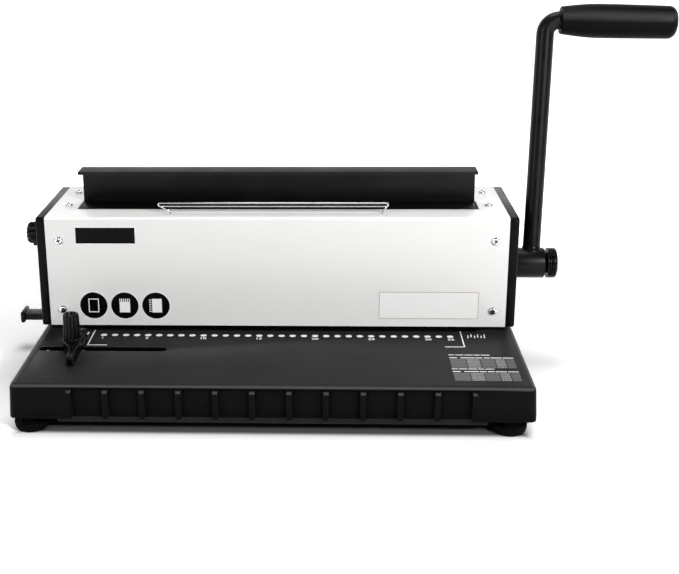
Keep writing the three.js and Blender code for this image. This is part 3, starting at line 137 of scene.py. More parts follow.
sweep_paper = bpy.data.materials.new("sweep_paper")
sweep_paper.use_nodes = True
paper = sweep_paper.node_tree
paper.nodes.clear()
rays = add_node(paper, "ShaderNodeLightPath").outputs
seen = rays["Is Camera Ray"]
for ray in ("Is Glossy Ray", "Is Transmission Ray"):
    seen = add_node(paper, "ShaderNodeMath", {0: seen, 1: rays[ray]}, operation="MAXIMUM").outputs[0]
spot = add_node(paper, "ShaderNodeTexCoord").outputs["Object"]
away = add_node(paper, "ShaderNodeVectorMath", {0: spot}, operation="LENGTH").outputs["Value"]
base_middle = (base_low + base_high) / 2
base_half = (base_high - base_low) / 2
for operation, value in (("SUBTRACT", base_middle), ("ABSOLUTE", base_middle), ("SUBTRACT", base_half)):
    spot = add_node(paper, "ShaderNodeVectorMath", {0: spot, 1: value}, operation=operation).outputs[0]
past = add_node(paper, "ShaderNodeSeparateXYZ", {0: spot}).outputs
outside = add_node(paper, "ShaderNodeMath", {0: past["X"], 1: past["Y"]}, operation="MAXIMUM").outputs[0]
# Painted shadow: seen paper inside the base's footprint fades from white at its edge to a small share of
# it further in.
painted_shadow_ends = {
    "Value": outside,
    "From Min": -painted_shadow_to,
    "From Max": -painted_shadow_from,
    "To Min": paper_seen * painted_shadow_share,
    "To Max": paper_seen,
}
painted_shadow = add_node(paper, "ShaderNodeMapRange", painted_shadow_ends, interpolation_type="SMOOTHSTEP")
shade_ends = {"Value": seen, "To Min": paper_white, "To Max": painted_shadow.outputs["Result"]}
shade = add_node(paper, "ShaderNodeMapRange", shade_ends)
matt = add_node(paper, "ShaderNodeBsdfDiffuse", {"Color": shade.outputs["Result"]})
lift_ends = {"Value": away, "From Min": lift_from, "From Max": lift_to}
rise = add_node(paper, "ShaderNodeMapRange", lift_ends, interpolation_type="SMOOTHSTEP")
lift = add_node(paper, "ShaderNodeMath", {0: seen, 1: rise.outputs["Result"]}, operation="MULTIPLY")
glow = add_node(paper, "ShaderNodeEmission", {"Color": (1, 1, 1, 1), "Strength": lift.outputs[0]})
both = add_node(paper, "ShaderNodeAddShader", {0: matt.outputs[0], 1: glow.outputs[0]})
add_node(paper, "ShaderNodeOutputMaterial", {"Surface": both.outputs[0]})



def move_new(bm, grown, way):
    """Moves the corners that an extrusion has added, and returns them."""
    moved = [item for item in grown["geom"] if isinstance(item, bmesh.types.BMVert)]
    bmesh.ops.translate(bm, vec=way, verts=moved)
    return moved


def drawn_along_x(line, left, right):
    """A sheet without thickness along x. Its section's points are (y, z)."""
    bm = bmesh.new()
    verts = [bm.verts.new((left, y, z)) for y, z in line]
    edges = [bm.edges.new(pair) for pair in zip(verts, verts[1:])]
    move_new(bm, bmesh.ops.extrude_edge_only(bm, edges=edges), (right - left, 0, 0))
    return bm


line = [
    (-paper_reach, 0.0),
    *[
        (wall_y - wall_bend + wall_bend * math.sin(turn), wall_bend - wall_bend * math.cos(turn))
        for turn in [math.radians(10 * i) for i in range(10)]
    ],
    (wall_y, wall_height),
]
bm = drawn_along_x(line, -paper_reach, paper_reach)
bmesh.ops.recalc_face_normals(bm, faces=bm.faces)
for face in bm.faces:
    upright = abs(face.normal.z) < 1e-3
    if (upright and face.normal.y > 0) or (not upright and face.normal.z < 0):
        face.normal_flip()
    face.smooth = True
sweep_mesh = bpy.data.meshes.new("paper_sweep")
bm.to_mesh(sweep_mesh)
bm.free()
sweep_mesh.materials.append(sweep_paper)
sweep = bpy.data.objects.new("paper_sweep", sweep_mesh)
scene.collection.objects.link(sweep)
sweep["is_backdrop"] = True

for lamp_name, (place, size, power) in lamps.items():
    lamp_data = bpy.data.lights.new(lamp_name, "AREA")
    lamp_data.shape = "DISK"
    lamp_data.size = size
    lamp_data.energy = power
    lamp = bpy.data.objects.new(lamp_name, lamp_data)
    aim = Vector((middle_x, 0, lamp_aim_height)) - Vector(place)
    lamp.matrix_world = Matrix.Translation(place) @ aim.to_track_quat("-Z", "Y").to_matrix().to_4x4()
    scene.collection.objects.link(lamp)


# Base. One black ABS moulding, a tray turned upside down, with a shallow recess and twelve upright
# ribs in its front. It has a fine spark-eroded grain, rubbed smoother in broad patches.
class Finish:
    """A surface finish whose patterns lie in the machine's own coordinates."""

    def __init__(self, name, colour, roughness, metallic=0.0, specular=0.5, sheen=0.0):
        self.material = bpy.data.materials.new(name)
        self.material.use_nodes = True
        self.tree = self.material.node_tree
        self.shader = self.tree.nodes["Principled BSDF"]
        self.shader.inputs["Base Color"].default_value = (*colour, 1)
        self.shader.inputs["Roughness"].default_value = roughness
        self.shader.inputs["Metallic"].default_value = metallic
        self.shader.inputs["Specular IOR Level"].default_value = specular
        self.shader.inputs["Sheen Weight"].default_value = sheen
        self.shader.inputs["Sheen Roughness"].default_value = 0.3
        self.material.diffuse_color = (*colour, 1)
        self.coordinates = self.tree.nodes.new("ShaderNodeTexCoord").outputs["Object"]

    def add(self, kind, inputs=None, **settings):
        return add_node(self.tree, kind, inputs, **settings)

    def pattern(self, kind, grain, stretch, inputs, output):
        mapping = self.add("ShaderNodeMapping", {"Vector": self.coordinates, "Scale": stretch})
        settings = {"Vector": mapping.outputs[0], "Scale": 1 / grain, **inputs}
        return self.add(kind, settings).outputs[output]

    def noise(self, grain, detail=3.0, stretch=(1, 1, 1)):
        """Soft grains of that size, as a share from 0 to 1."""
        return self.pattern("ShaderNodeTexNoise", grain, stretch, {"Detail": detail}, "Fac")

    def cells(self, grain, stretch=(1, 1, 1)):
        """Distances from the middles of random cells of that size."""
        return self.pattern("ShaderNodeTexVoronoi", grain, stretch, {}, "Distance")

    def between(self, source, low, high, to_low, to_high):
        ends = {"From Min": low, "From Max": high, "To Min": to_low, "To Max": to_high}
        return self.add("ShaderNodeMapRange", {"Value": source, **ends}).outputs["Result"]

    def tint(self, share, colour):
        """Mixes a second colour over what is there."""
        socket = self.shader.inputs["Base Color"]
        under = socket.links[0].from_socket if socket.is_linked else tuple(socket.default_value)
        mix = self.add("ShaderNodeMix", data_type="RGBA")
        self.tree.links.new(share, mix.inputs["Factor"])
        for index, value in ((6, under), (7, (*colour, 1))):
            if isinstance(value, bpy.types.NodeSocket):
                self.tree.links.new(value, mix.inputs[index])
            else:
                mix.inputs[index].default_value = value
        self.tree.links.new(mix.outputs[2], socket)

    def mottle(self, grain, detail, low, high, share, colour):
        """Blotches of a second colour, at most as strong as the share."""
        self.tint(self.between(self.noise(grain, detail), low, high, 0, share), colour)

    def worn(self, width, scratch_grain, colour):
        """A second colour on the sharp edges, where handling has rubbed them; on the base it is also a
        painted highlight.
        """
        self.tint(self.edges(width, scratch_grain), colour)

    def polish(self, source, low, high):
        """Roughness that follows a pattern between two values."""
        result = self.between(source, 0.3, 0.7, low, high)
        self.tree.links.new(result, self.shader.inputs["Roughness"])

    def gloss(self, grain, detail, low, high):
        """Roughness that wanders between two values in soft grains."""
        self.polish(self.noise(grain, detail), low, high)

    def relief(self, source, depth, strength=1.0):
        """Raises the surface by a pattern, over any relief that is there."""
        socket = self.shader.inputs["Normal"]
        inputs = {"Height": source, "Distance": depth, "Strength": strength}
        if socket.is_linked:
            inputs["Normal"] = socket.links[0].from_socket
        bump = self.add("ShaderNodeBump", inputs)
        self.tree.links.new(bump.outputs["Normal"], socket)

    def upward(self, low, high):
        """1 where a surface faces up as the piece stands at rest, and 0 where it faces away."""
        normal = self.add("ShaderNodeTexCoord").outputs["Normal"]
        lift = self.add("ShaderNodeSeparateXYZ", {"Vector": normal}).outputs["Z"]
        return self.between(lift, low, high, 0, 1)

    def hollows(self, reach, deep, open_out):
        """Specular light that fades where a surface lies deep in a corner."""
        share = self.add("ShaderNodeAmbientOcclusion", {"Distance": reach}, samples=4).outputs["AO"]
        result = self.between(share, 0.5, 0.95, deep, open_out)
        self.tree.links.new(result, self.shader.inputs["Specular IOR Level"])

    def steer(self, name, share, at_0, at_1):
        """Moves one of the shader's inputs from one value to another by a share."""
        self.tree.links.new(self.between(share, 0, 1, at_0, at_1), self.shader.inputs[name])

    def edges(self, width, scratch_grain):
        """1 on worn sharp edges and 0 away from them, broken up by fine noise."""
        rounded = self.add("ShaderNodeBevel", {"Radius": width}, samples=4).outputs["Normal"]
        flat = self.add("ShaderNodeNewGeometry").outputs["Normal"]
        alike = self.add("ShaderNodeVectorMath", {0: rounded, 1: flat}, operation="DOT_PRODUCT")
        edge = self.between(alike.outputs["Value"], 0.97, 0.80, 0, 1)
        broken = self.between(self.noise(scratch_grain, 4), 0.42, 0.62, 0, 1)
        return self.add("ShaderNodeMath", {0: edge, 1: broken}, operation="MULTIPLY").outputs[0]


def clean_copy(node, flat_within=0.5):
    """A node's own faces, merged into a mesh of flat faces with shared corners."""
    bm = bmesh.new()
    bm.from_mesh(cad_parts[node].data)
    bmesh.ops.remove_doubles(bm, verts=bm.verts, dist=2e-6)
    bmesh.ops.dissolve_limit(bm, angle_limit=math.radians(flat_within), verts=bm.verts, edges=bm.edges)
    return bm


def soften(bm, width, segments=2, sharper_than=33):
    """Rounds every edge that is sharper than that many degrees."""
    limit = math.radians(sharper_than)
    sharp = [edge for edge in bm.edges if edge.is_manifold and edge.calc_face_angle() > limit]
    bmesh.ops.bevel(
        bm,
        geom=sharp,
        affect="EDGES",
        offset=width,
        offset_type="OFFSET",
        segments=segments,
        profile=0.5,
        material=-1,
        clamp_overlap=True,
    )


def shade_smooth(mesh, smooth_within=33):
    """Shades a mesh smooth across the edges that turn by less than that many degrees."""
    mesh.shade_smooth()
    mesh.set_sharp_from_angle(angle=math.radians(smooth_within))


def finished(name, bm, finish, smooth_within=33):
    """Makes the piece's object and shades it smooth across its gentle edges."""
    mesh = bpy.data.meshes.new(name)
    bm.to_mesh(mesh)
    bm.free()
    mesh.materials.append(finish.material)
    shade_smooth(mesh, smooth_within)
    piece = bpy.data.objects.new(name, mesh)
    scene.collection.objects.link(piece)
    return piece


def fit(piece, body, slot, *nodes):
    """Puts a piece on its body, in place of the nodes that it dresses."""
    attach(piece, body)
    if nodes:
        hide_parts(*nodes)


def rounded_copy(name, node, finish, width, segments, body, slot):
    """Makes a piece in a node's own shape, with its sharp edges rounded."""
    bm = clean_copy(node)
    soften(bm, width, segments)
    fit(finished(name, bm, finish), body, slot, node)


base_black = (0.0016, 0.0016, 0.0019)
base_dust = (0.0036, 0.0035, 0.0035)
base_top_dust_and_sheen = (0.0125, 0.0125, 0.0128)
base_rim_painted_highlight = (0.060, 0.060, 0.062)
base_edge_wear_and_highlight = (0.030, 0.030, 0.031)
moulding = Finish("black_moulding_grain", base_black, 0.4, specular=0.07, sheen=0.12)
broad = moulding.noise(0.045, 4)
moulding.tint(moulding.between(broad, 0.45, 0.75, 0, 0.6), base_dust)
# Painted highlight: faces that slope between upright and level, such as the rounded top edges, are
# painted a lighter grey.
moulding.tint(moulding.upward(0.25, 0.55), base_rim_painted_highlight)
# Upward faces are painted lighter, partly for dust and partly as a painted sheen where the top catches
# the light.
moulding.tint(moulding.upward(0.75, 0.95), base_top_dust_and_sheen)
# Sharp edges are lighter, partly from wear and partly as a painted highlight along them.
moulding.worn(0.0007, 0.0015, base_edge_wear_and_highlight)
moulding.polish(broad, 0.36, 0.46)
moulding.hollows(0.03, 0.012, 0.06)
moulding.relief(moulding.cells(0.00045), 0.00004, 0.5)
moulding.relief(moulding.noise(0.02, 2), 0.0002, 0.3)
rounded_copy("base_moulding", "base_shell", moulding, 0.0005, 3, "machine", "black_moulding")

# Bottom plate. Pressed steel that closes the base from below and carries the feet. Its black paint
# shows fine scuffs from being set down.
plate_paint = Finish("bottom_plate_paint", (0.005, 0.005, 0.0055), 0.45, specular=0.16)
plate_paint.worn(0.0006, 0.0012, (0.10, 0.10, 0.105))
plate_paint.gloss(0.03, 4, 0.4, 0.55)
plate_paint.relief(plate_paint.noise(0.0012, 2), 0.00004, 0.6)


def dress(finish, *nodes):
    """Gives pieces that keep the frame's own mesh a finish."""
    for node in nodes:
        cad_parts[node].material_slots[0].material = finish.material


dress(plate_paint, "bottom_plate")

# Feet. Four soft rubber cups, each with a collar against the bottom plate and a hollow in its sole
# for the screw that holds it.
foot_collar_radius = 0.0075
foot_hollow_radius = 0.0034
foot_hollow_depth = 0.0045
foot_lip_height = 0.0004
foot_lip_width = 0.0005
foot_collar_chamfer = 0.0006
foot_rim_share = 0.55
foot_seat_gap = 0.00005
# The cup's side and its rim, as heights and how far each lies in from the full radius.
foot_side = [(0, 0.0025), (0.0003, 0.0019), (0.0014, 0.0010), (0.0028, 0.0004), (0.0046, 0)]
foot_rim = [(-0.0008, 0), (-0.0002, 0.0003), (0, 0.0009), (-0.0009, 0.0022)]
foot_rubber = Finish("foot_rubber", (0.0018, 0.0018, 0.0018), 0.6, specular=0.05)
foot_rubber.mottle(0.006, 4, 0.5, 0.75, 0.5, (0.004, 0.004, 0.0039))
foot_rubber.gloss(0.004, 3, 0.6, 0.8)
foot_rubber.relief(foot_rubber.noise(0.0006, 3), 0.00005, 0.7)


def lathe(points, centre, axis, steps=64, ring=False):
    """A turned solid. The points are (distance along the axis, radius) from one pole to the other,
    or round the section of a ring."""
    bm = bmesh.new()
    along = Vector(axis).normalized()
    out = along.orthogonal().normalized()
    chain = [bm.verts.new(Vector(centre) + along * height + out * radius) for height, radius in points]
    pairs = list(zip(chain, chain[1:])) + ([(chain[-1], chain[0])] if ring else [])
    edges = [bm.edges.new(pair) for pair in pairs]
    bmesh.ops.spin(
        bm,
        geom=chain + edges,
        cent=centre,
        axis=along,
        angle=math.tau,
        steps=steps,
        use_merge=True,
    )
    bmesh.ops.remove_doubles(bm, verts=bm.verts, dist=1e-7)
    bmesh.ops.recalc_face_normals(bm, faces=bm.faces)
    return bm


def rounding(centre, radius, start, end, steps):
    """Points on an arc of a section, with its angles in degrees from the axis."""
    angles = [math.radians(start + (end - start) * i / steps) for i in range(steps + 1)]
    return [(centre[0] + radius * math.cos(a), centre[1] + radius * math.sin(a)) for a in angles]


for place in ("front_left", "front_right", "rear_left", "rear_right"):
    low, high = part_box(f"foot_{place}")
    wide = (high.x - low.x) / 2
    top = base_low.z - foot_seat_gap
    rim = top * foot_rim_share
    trough = rim + foot_rim[-1][0]
    centre = ((low.x + high.x) / 2, (low.y + high.y) / 2, 0)
    profile = [
        (foot_hollow_depth, 0),
        (foot_hollow_depth, foot_hollow_radius),
        (foot_lip_height, foot_hollow_radius),
        (0, foot_hollow_radius + foot_lip_width),
        *[(height, wide - inset) for height, inset in foot_side],
        *[(rim + height, wide - inset) for height, inset in foot_rim],
        (trough, foot_collar_radius + foot_collar_chamfer),
        (trough + foot_collar_chamfer, foot_collar_radius),
        (top, foot_collar_radius),
        (top, 0),
    ]
    foot = finished(f"rubber_foot_{place}", lathe(profile, centre, (0, 0, 1)), foot_rubber, 40)
    fit(foot, "machine", "rubber", f"foot_{place}")

# Chip tray. A thin black plastic drawer that lies under the die and catches the punched chips. It
# comes out at the left by its ribbed pull.
tray_plastic = Finish("tray_plastic", (0.0036, 0.0036, 0.0038), 0.34, specular=0.16)
tray_plastic.worn(0.0005, 0.001, (0.05, 0.05, 0.052))
tray_plastic.gloss(0.01, 4, 0.3, 0.5)
tray_plastic.relief(tray_plastic.noise(0.0006, 2), 0.00003, 0.5)
rounded_copy("chip_drawer", "chip_tray", tray_plastic, 0.0003, 2, "tray", "black_plastic")

# Stop rivet. A bright rivet pressed into the front wall of the base's slot, just below the top. The
# edge guide's tongue stops short of it.
chrome = Finish("bright_chrome", (0.78, 0.78, 0.80), 0.12, metallic=1.0)
chrome.gloss(0.002, 4, 0.07, 0.2)
chrome.relief(chrome.noise(0.0008, 3), 0.00001, 0.4)
rivet_radius = 0.0011
rivet_left = 0.1672
rivet_back = 0.0650
rivet_foot = 0.0024
rivet_place = (middle_x - rivet_left, base_low.y + rivet_back, base_high.z - rivet_foot)
rivet_height = 0.0023
rivet_profile = [
    (0, 0),
    (0, rivet_radius),
    (rivet_height - 0.0007, rivet_radius),
    (rivet_height - 0.0003, rivet_radius * 0.85),
    (rivet_height - 0.0001, rivet_radius * 0.5),
    (rivet_height, 0),
]
stop_rivet = finished("stop_rivet", lathe(rivet_profile, rivet_place, (0, 0, 1), 32), chrome)
fit(stop_rivet, "machine", "chrome")

# Edge guide. A black plastic arm that the sheets' left edge lies against. Its boss carries the
# clamp knob, a tall fluted cone on a stud that draws a square nut up under the slot.
guide_plastic = Finish("guide_plastic", (0.0018, 0.0018, 0.0020), 0.26, specular=0.16)
guide_plastic.worn(0.0007, 0.0012, (0.11, 0.11, 0.115))
guide_plastic.gloss(0.008, 4, 0.2, 0.32)
guide_plastic.hollows(0.004, 0.02, 0.18)
guide_plastic.relief(guide_plastic.noise(0.0005, 2), 0.00003, 0.5)
rounded_copy("guide_arm", "edge_guide", guide_plastic, 0.0008, 3, "guide", "black_plastic")


def flute(bm, centre, axis, count, depth, beyond, low, high):
    """Presses even grooves along a turned piece, where it is wider than a radius and between two
    heights along its axis."""
    along = Vector(axis).normalized()
    out = along.orthogonal().normalized()
    side = along.cross(out)
    for vert in bm.verts:
        arm = vert.co - Vector(centre)
        height = arm.dot(along)
        flat = arm - along * height
        if flat.length <= beyond or not low <= height <= high:
            continue
        angle = math.atan2(flat.dot(side), flat.dot(out))
        groove = (0.5 - 0.5 * math.cos(angle * count)) ** 0.6
        vert.co -= flat.normalized() * depth * groove


low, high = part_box("edge_guide_knob")
guide_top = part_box("edge_guide")[1].z
boss_recess = 0.001
knob_clearance = 0.0001
knob_radius = (high.x - low.x) / 2
knob_bottom = guide_top - boss_recess + knob_clearance
knob_centre = ((low.x + high.x) / 2, (low.y + high.y) / 2, 0)
knob_tall = high.z - knob_bottom
stud_radius = 0.0025
stud_chamfer = 0.0004
knob_hollow = 0.0070
knob_flute_depth = 0.0010
taper = 0.1 * knob_radius
tip = knob_radius - taper
height_shares = (0.15, 0.3, 0.45, 0.6, 0.75, 0.88)
knob_profile = [
    (low.z, 0),
    (low.z, stud_radius - stud_chamfer),
    (low.z + stud_chamfer, stud_radius),
    (knob_bottom, stud_radius),
    (knob_bottom, knob_radius - 0.0005),
    (knob_bottom + 0.0004, knob_radius),
    *[(knob_bottom + knob_tall * share, knob_radius - taper * share) for share in height_shares],
    (high.z - 0.0011, tip - 0.0001),
    (high.z - 0.0003, tip - 0.0005),
    (high.z, tip - 0.0012),
    (high.z, knob_radius * 0.64),
    (high.z - 0.0004, knob_radius * 0.58),
    (high.z - knob_hollow, knob_radius * 0.50),
    (high.z - knob_hollow - 0.0004, 0),
]
bm = lathe(knob_profile, knob_centre, (0, 0, 1), 144)
flute_low = knob_bottom + 0.0002
flute_high = high.z - 0.0004
flute(bm, knob_centre, (0, 0, 1), 13, knob_flute_depth, knob_radius * 0.78, flute_low, flute_high)
clamp_knob = finished("clamp_knob", bm, guide_plastic, 40)
fit(clamp_knob, "guide_knob", "black_plastic", "edge_guide_knob")

# Zinc-plated steel parts: the frame plates, the tie bar, the paper stop, the jaw's legs and guides,
# the punch's guide posts, the adjuster's shaft and the edge guide's nut. The plating has a cloudy
# bluish bloom and fine scratches.
zinc = Finish("zinc_plating", (0.55, 0.56, 0.58), 0.38, metallic=0.9)
bloom = zinc.noise(0.012, 5)
zinc.tint(zinc.between(bloom, 0.4, 0.7, 0, 0.6), (0.42, 0.44, 0.49))
zinc.mottle(0.004, 4, 0.6, 0.8, 0.5, (0.62, 0.59, 0.50))
zinc.polish(bloom, 0.28, 0.5)
zinc.relief(zinc.noise(0.0006, 2, (1, 1, 0.12)), 0.00002, 0.6)
dress(
    zinc,
    "frame_left", "frame_right", "tie_bar", "paper_stop", "jaw_leg_left", "jaw_leg_right",
    "jaw_guide_left", "jaw_guide_right", "punch_post_left", "punch_post_right", "edge_guide_nut",
    "adjuster_shaft",
)

# Ground tool steel: the punch bar, the shaft and the cams. The grinding marks run along the machine,
# under a thin brown film of oil.
steel = Finish("ground_steel", (0.36, 0.365, 0.375), 0.33, metallic=1.0)
grinding = steel.noise(0.0004, 3, (0.04, 1, 1))
steel.mottle(0.02, 4, 0.5, 0.72, 0.55, (0.25, 0.22, 0.18))
steel.polish(grinding, 0.24, 0.42)
steel.relief(grinding, 0.00002, 0.5)
dress(
    steel,
    "punch_bar", "drive_shaft", "punch_cam_left", "punch_cam_right", "closer_cam_left",
    "closer_cam_right", "anvil_cam_left", "anvil_cam_right",
)

# Blackened tool steel: the die plate, the pin guide plate and the punch pins in the throat. They are
# hardened, and shine only with oil.
blackened = Finish("blackened_steel", (0.003, 0.003, 0.0033), 0.4, specular=0.05)
blackened.mottle(0.01, 4, 0.5, 0.75, 0.5, (0.006, 0.0055, 0.005))
blackened.gloss(0.004, 3, 0.34, 0.5)
blackened.relief(blackened.noise(0.0005, 3, (0.05, 1, 1)), 0.00002, 0.5)
dress(blackened, "die_plate", "pin_guide_plate", "punch_pins")

# Bushes. Two rings of sintered bronze that carry the drive shaft in the frame plates, with open
# pores and a dull oily tone.
sintered = Finish("sintered_bronze", (0.50, 0.36, 0.20), 0.45, metallic=0.9)
sintered.mottle(0.003, 4, 0.5, 0.7, 0.6, (0.28, 0.19, 0.11))
sintered.gloss(0.002, 3, 0.35, 0.6)
sintered.relief(sintered.cells(0.0004), 0.00004, 0.6)
dress(sintered, "shaft_bush_left", "shaft_bush_right")

# Springs. Coils of bright music wire: two short ones under the punch bar, and two long ones that
# hang on the tie bar and draw the closer jaw up.
wire_steel = Finish("music_wire", (0.45, 0.45, 0.47), 0.25, metallic=1.0)
wire_steel.mottle(0.002, 4, 0.5, 0.7, 0.5, (0.28, 0.27, 0.26))
wire_steel.gloss(0.001, 3, 0.18, 0.34)
spring_steps = 20
spring_wire = 0.0006


def coil(centre, low, high, radius, wire, turns):
    """A coil spring that stands on z, with closed ends."""
    bm = bmesh.new()
    start = Vector((centre[0] + radius, centre[1], low + wire))
    turn = Matrix.Translation(start) @ Matrix.Rotation(math.pi / 2, 4, "X")
    ring = bmesh.ops.create_circle(bm, cap_ends=True, segments=8, radius=wire, matrix=turn)
    faces = list({face for vert in ring["verts"] for face in vert.link_faces})
    steps = int(turns * spring_steps)
    bmesh.ops.spin(
        bm,
        geom=faces,
        cent=(centre[0], centre[1], start.z),
        axis=(0, 0, 1),
        dvec=(0, 0, (high - low - 2 * wire) / steps),
        angle=turns * math.tau,
        steps=steps,
    )
    bmesh.ops.remove_doubles(bm, verts=bm.verts, dist=1e-7)
    bmesh.ops.recalc_face_normals(bm, faces=bm.faces)
    return bm


for side in ("left", "right"):
    for kind, wound in (("punch", 7), ("jaw", 18)):
        low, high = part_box(f"{kind}_spring_{side}")
        radius = (high.x - low.x) / 2 - spring_wire
        centre = ((low.x + high.x) / 2, (low.y + high.y) / 2)
        bm = coil(centre, low.z, high.z, radius, spring_wire, wound)
        spring = finished(f"{kind}_coil_{side}", bm, wire_steel)
        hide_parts(f"{kind}_spring_{side}")
        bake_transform(spring)

# Covers. One white powder-coated sheet is folded over the front and top, and a flat one closes the
# back. The coat has a faint orange peel, and greys a little with dust.
powder = Finish("white_powder_coat", (0.86, 0.86, 0.845), 0.32, specular=0.5)
powder.mottle(0.06, 4, 0.5, 0.8, 0.5, (0.80, 0.80, 0.775))
powder.worn(0.0005, 0.002, (0.93, 0.93, 0.92))
powder.gloss(0.05, 3, 0.28, 0.38)
powder.relief(powder.noise(0.0016, 2), 0.00003, 0.35)


def cut_away(piece, cutters):
    """Cuts each bmesh in the list out of the piece."""
    for bm in cutters:
        mesh = bpy.data.meshes.new("cutter")
        bm.to_mesh(mesh)
        bm.free()
        cutter = bpy.data.objects.new("cutter", mesh)
        scene.collection.objects.link(cutter)
        boolean = piece.modifiers.new("cut", "BOOLEAN")
        boolean.operation = "DIFFERENCE"
        boolean.solver = "EXACT"
        boolean.object = cutter
        bpy.context.view_layer.update()
        evaluated = piece.evaluated_get(bpy.context.evaluated_depsgraph_get())
        cut_mesh = bpy.data.meshes.new_from_object(evaluated)
        piece.modifiers.clear()
        piece.data = cut_mesh
        bpy.data.objects.remove(cutter)


def block(low, high):
    """A plain block between two corners."""
    bm = bmesh.new()
    bmesh.ops.create_cube(bm, size=1)
    size = [b - a for a, b in zip(low, high)]
    middle = [(a + b) / 2 for a, b in zip(low, high)]
    bmesh.ops.scale(bm, vec=size, verts=bm.verts)
    bmesh.ops.translate(bm, vec=middle, verts=bm.verts)
    return bm


def folded_sheet(line, fold, radius, thickness, left, right):
    """A sheet along x, bent at one point of its section and then given its thickness inwards."""
    bm = drawn_along_x(line, left, right)
    fold_y, fold_z = line[fold]
    at_fold = {vert for vert in bm.verts if abs(vert.co.y - fold_y) + abs(vert.co.z - fold_z) < 1e-7}
    bend = [edge for edge in bm.edges if all(vert in at_fold for vert in edge.verts)]
    bmesh.ops.bevel(
        bm,
        geom=bend,
        affect="EDGES",
        offset=radius,
        offset_type="OFFSET",
        segments=10,
        profile=0.5,
        material=-1,
    )
    bmesh.ops.recalc_face_normals(bm, faces=bm.faces)
    bmesh.ops.solidify(bm, geom=bm.faces, thickness=thickness)
    bmesh.ops.recalc_face_normals(bm, faces=bm.faces)
    return bm


def soften_cut(piece, width, segments):
    """Rounds the new edges of a piece that has been cut, and shades it again."""
    bm = bmesh.new()
    bm.from_mesh(piece.data)
    soften(bm, width, segments, 40)
    bm.to_mesh(piece.data)
    bm.free()
    shade_smooth(piece.data)


cover_low, cover_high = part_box("front_cover")
anvil_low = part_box("anvil")[0]
jaw_low, jaw_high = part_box("closer_jaw")
cover_sheet = 0.0015
cover_fold = 0.0022
opening_gap = 0.001
anvil_gap = 0.0006
cut_below = 0.004
cut_above = 0.002
section = [
    (cover_low.y, cover_low.z),
    (cover_low.y, cover_high.z),
    (cover_high.y, cover_high.z),
]
bm = folded_sheet(section, 1, cover_fold, cover_sheet, cover_low.x, cover_high.x)
cover = finished("white_front_cover", bm, powder)
cut_away(cover, [
    block(
        (jaw_low.x - opening_gap, anvil_low.y - anvil_gap, cover_high.z - cut_below),
        (jaw_high.x + opening_gap, jaw_high.y + opening_gap, cover_high.z + cut_above),
    ),
])
soften_cut(cover, 0.0003, 2)
fit(cover, "machine", "white_enamel", "front_cover")

rounded_copy("white_rear_cover", "rear_cover", powder, 0.0004, 2, "machine", "white_enamel")

# Side covers. Two black moulded caps that close the body's ends, with rounded outer edges and a fine
# grain.
cap_plastic = Finish("side_cover_plastic", (0.0024, 0.0024, 0.0026), 0.36, specular=0.07, sheen=0.21)
cap_plastic.mottle(0.02, 4, 0.5, 0.75, 0.5, (0.009, 0.0088, 0.0086))
cap_plastic.worn(0.0006, 0.0015, (0.07, 0.07, 0.073))
cap_plastic.gloss(0.02, 4, 0.3, 0.42)
cap_plastic.relief(cap_plastic.cells(0.0005), 0.00004, 0.5)
for side in ("left", "right"):
    node = f"side_cover_{side}"
    rounded_copy(f"moulded_side_{side}", node, cap_plastic, 0.0003, 2, "machine", "black_plastic")

# Cover screws. Eight chromed pan heads with a cross recess, which hold the white cover at the corners
# of its front and of its top.
head_radius = 0.0031
head_rise = 0.0018
head_round = 0.0011
head_crown = 0.00004
head_seat_gap = 0.00005
recess_width = 0.0011
recess_reach = 0.0022
recess_depth = 0.0014
recess_floor_share = 0.45
recess_overrun = 0.001
rim_depth_range = (0.0003, head_rise - 0.0001)
screw_shank = 0.002
screw_length = 0.009
# The faces inside each cross recess get a dark grey finish of their own: painted shade where the recess
# lies in its own shadow.
recess_painted_shade = Finish("screw_recess_painted_shade", (0.05, 0.05, 0.052), 0.4, metallic=0.6)
recess_painted_shade.mottle(0.0006, 3, 0.5, 0.7, 0.6, (0.02, 0.02, 0.02))
recess_painted_shade.gloss(0.0005, 3, 0.3, 0.5)
# One pattern stands on z with its seat at the origin, and each screw is a copy of it.
profile = [
    (-screw_length, 0),
    (-screw_length, screw_shank),
    (head_seat_gap, screw_shank),
    (head_seat_gap, head_radius),
    *rounding((head_rise - head_round, head_radius - head_round), head_round, 90, 15, 5),
    (head_rise, head_radius * 0.5),
    (head_rise + head_crown, 0),
]
screw_pattern = finished("screw_pattern", lathe(profile, (0, 0, 0), (0, 0, 1), 40), chrome, 40)
screw_pattern.data.materials.append(recess_painted_shade.material)
cutters = []
for turn in (0, math.pi / 2):
    cutter = block(
        (-recess_reach, -recess_width / 2, head_rise - recess_depth),
        (recess_reach, recess_width / 2, head_rise + recess_overrun),
    )
    for vert in cutter.verts:
        if vert.co.z < head_rise:
            vert.co.x *= recess_floor_share
    bmesh.ops.rotate(cutter, cent=(0, 0, 0), matrix=Matrix.Rotation(turn, 3, "Z"), verts=cutter.verts)
    cutters.append(cutter)
cut_away(screw_pattern, cutters)
# Faces inside the cross recess get the painted shade.
for face in screw_pattern.data.polygons:
    inside = max(abs(face.center.x), abs(face.center.y)) < recess_reach
    if inside and rim_depth_range[0] < face.center.z < rim_depth_range[1]:
        face.material_index = 1


def set_screw(name, place, outward, turn):
    """Sets a screw with its seat at a point, its head outwards and its cross turned by degrees."""
    mesh = screw_pattern.data.copy()
    stand_up = Vector((0, 0, 1)).rotation_difference(Vector(outward)).to_matrix().to_4x4()
    mesh.transform(Matrix.Translation(place) @ stand_up @ Matrix.Rotation(math.radians(turn), 4, "Z"))
    shade_smooth(mesh, 40)
    screw = bpy.data.objects.new(name, mesh)
    scene.collection.objects.link(screw)
    return screw


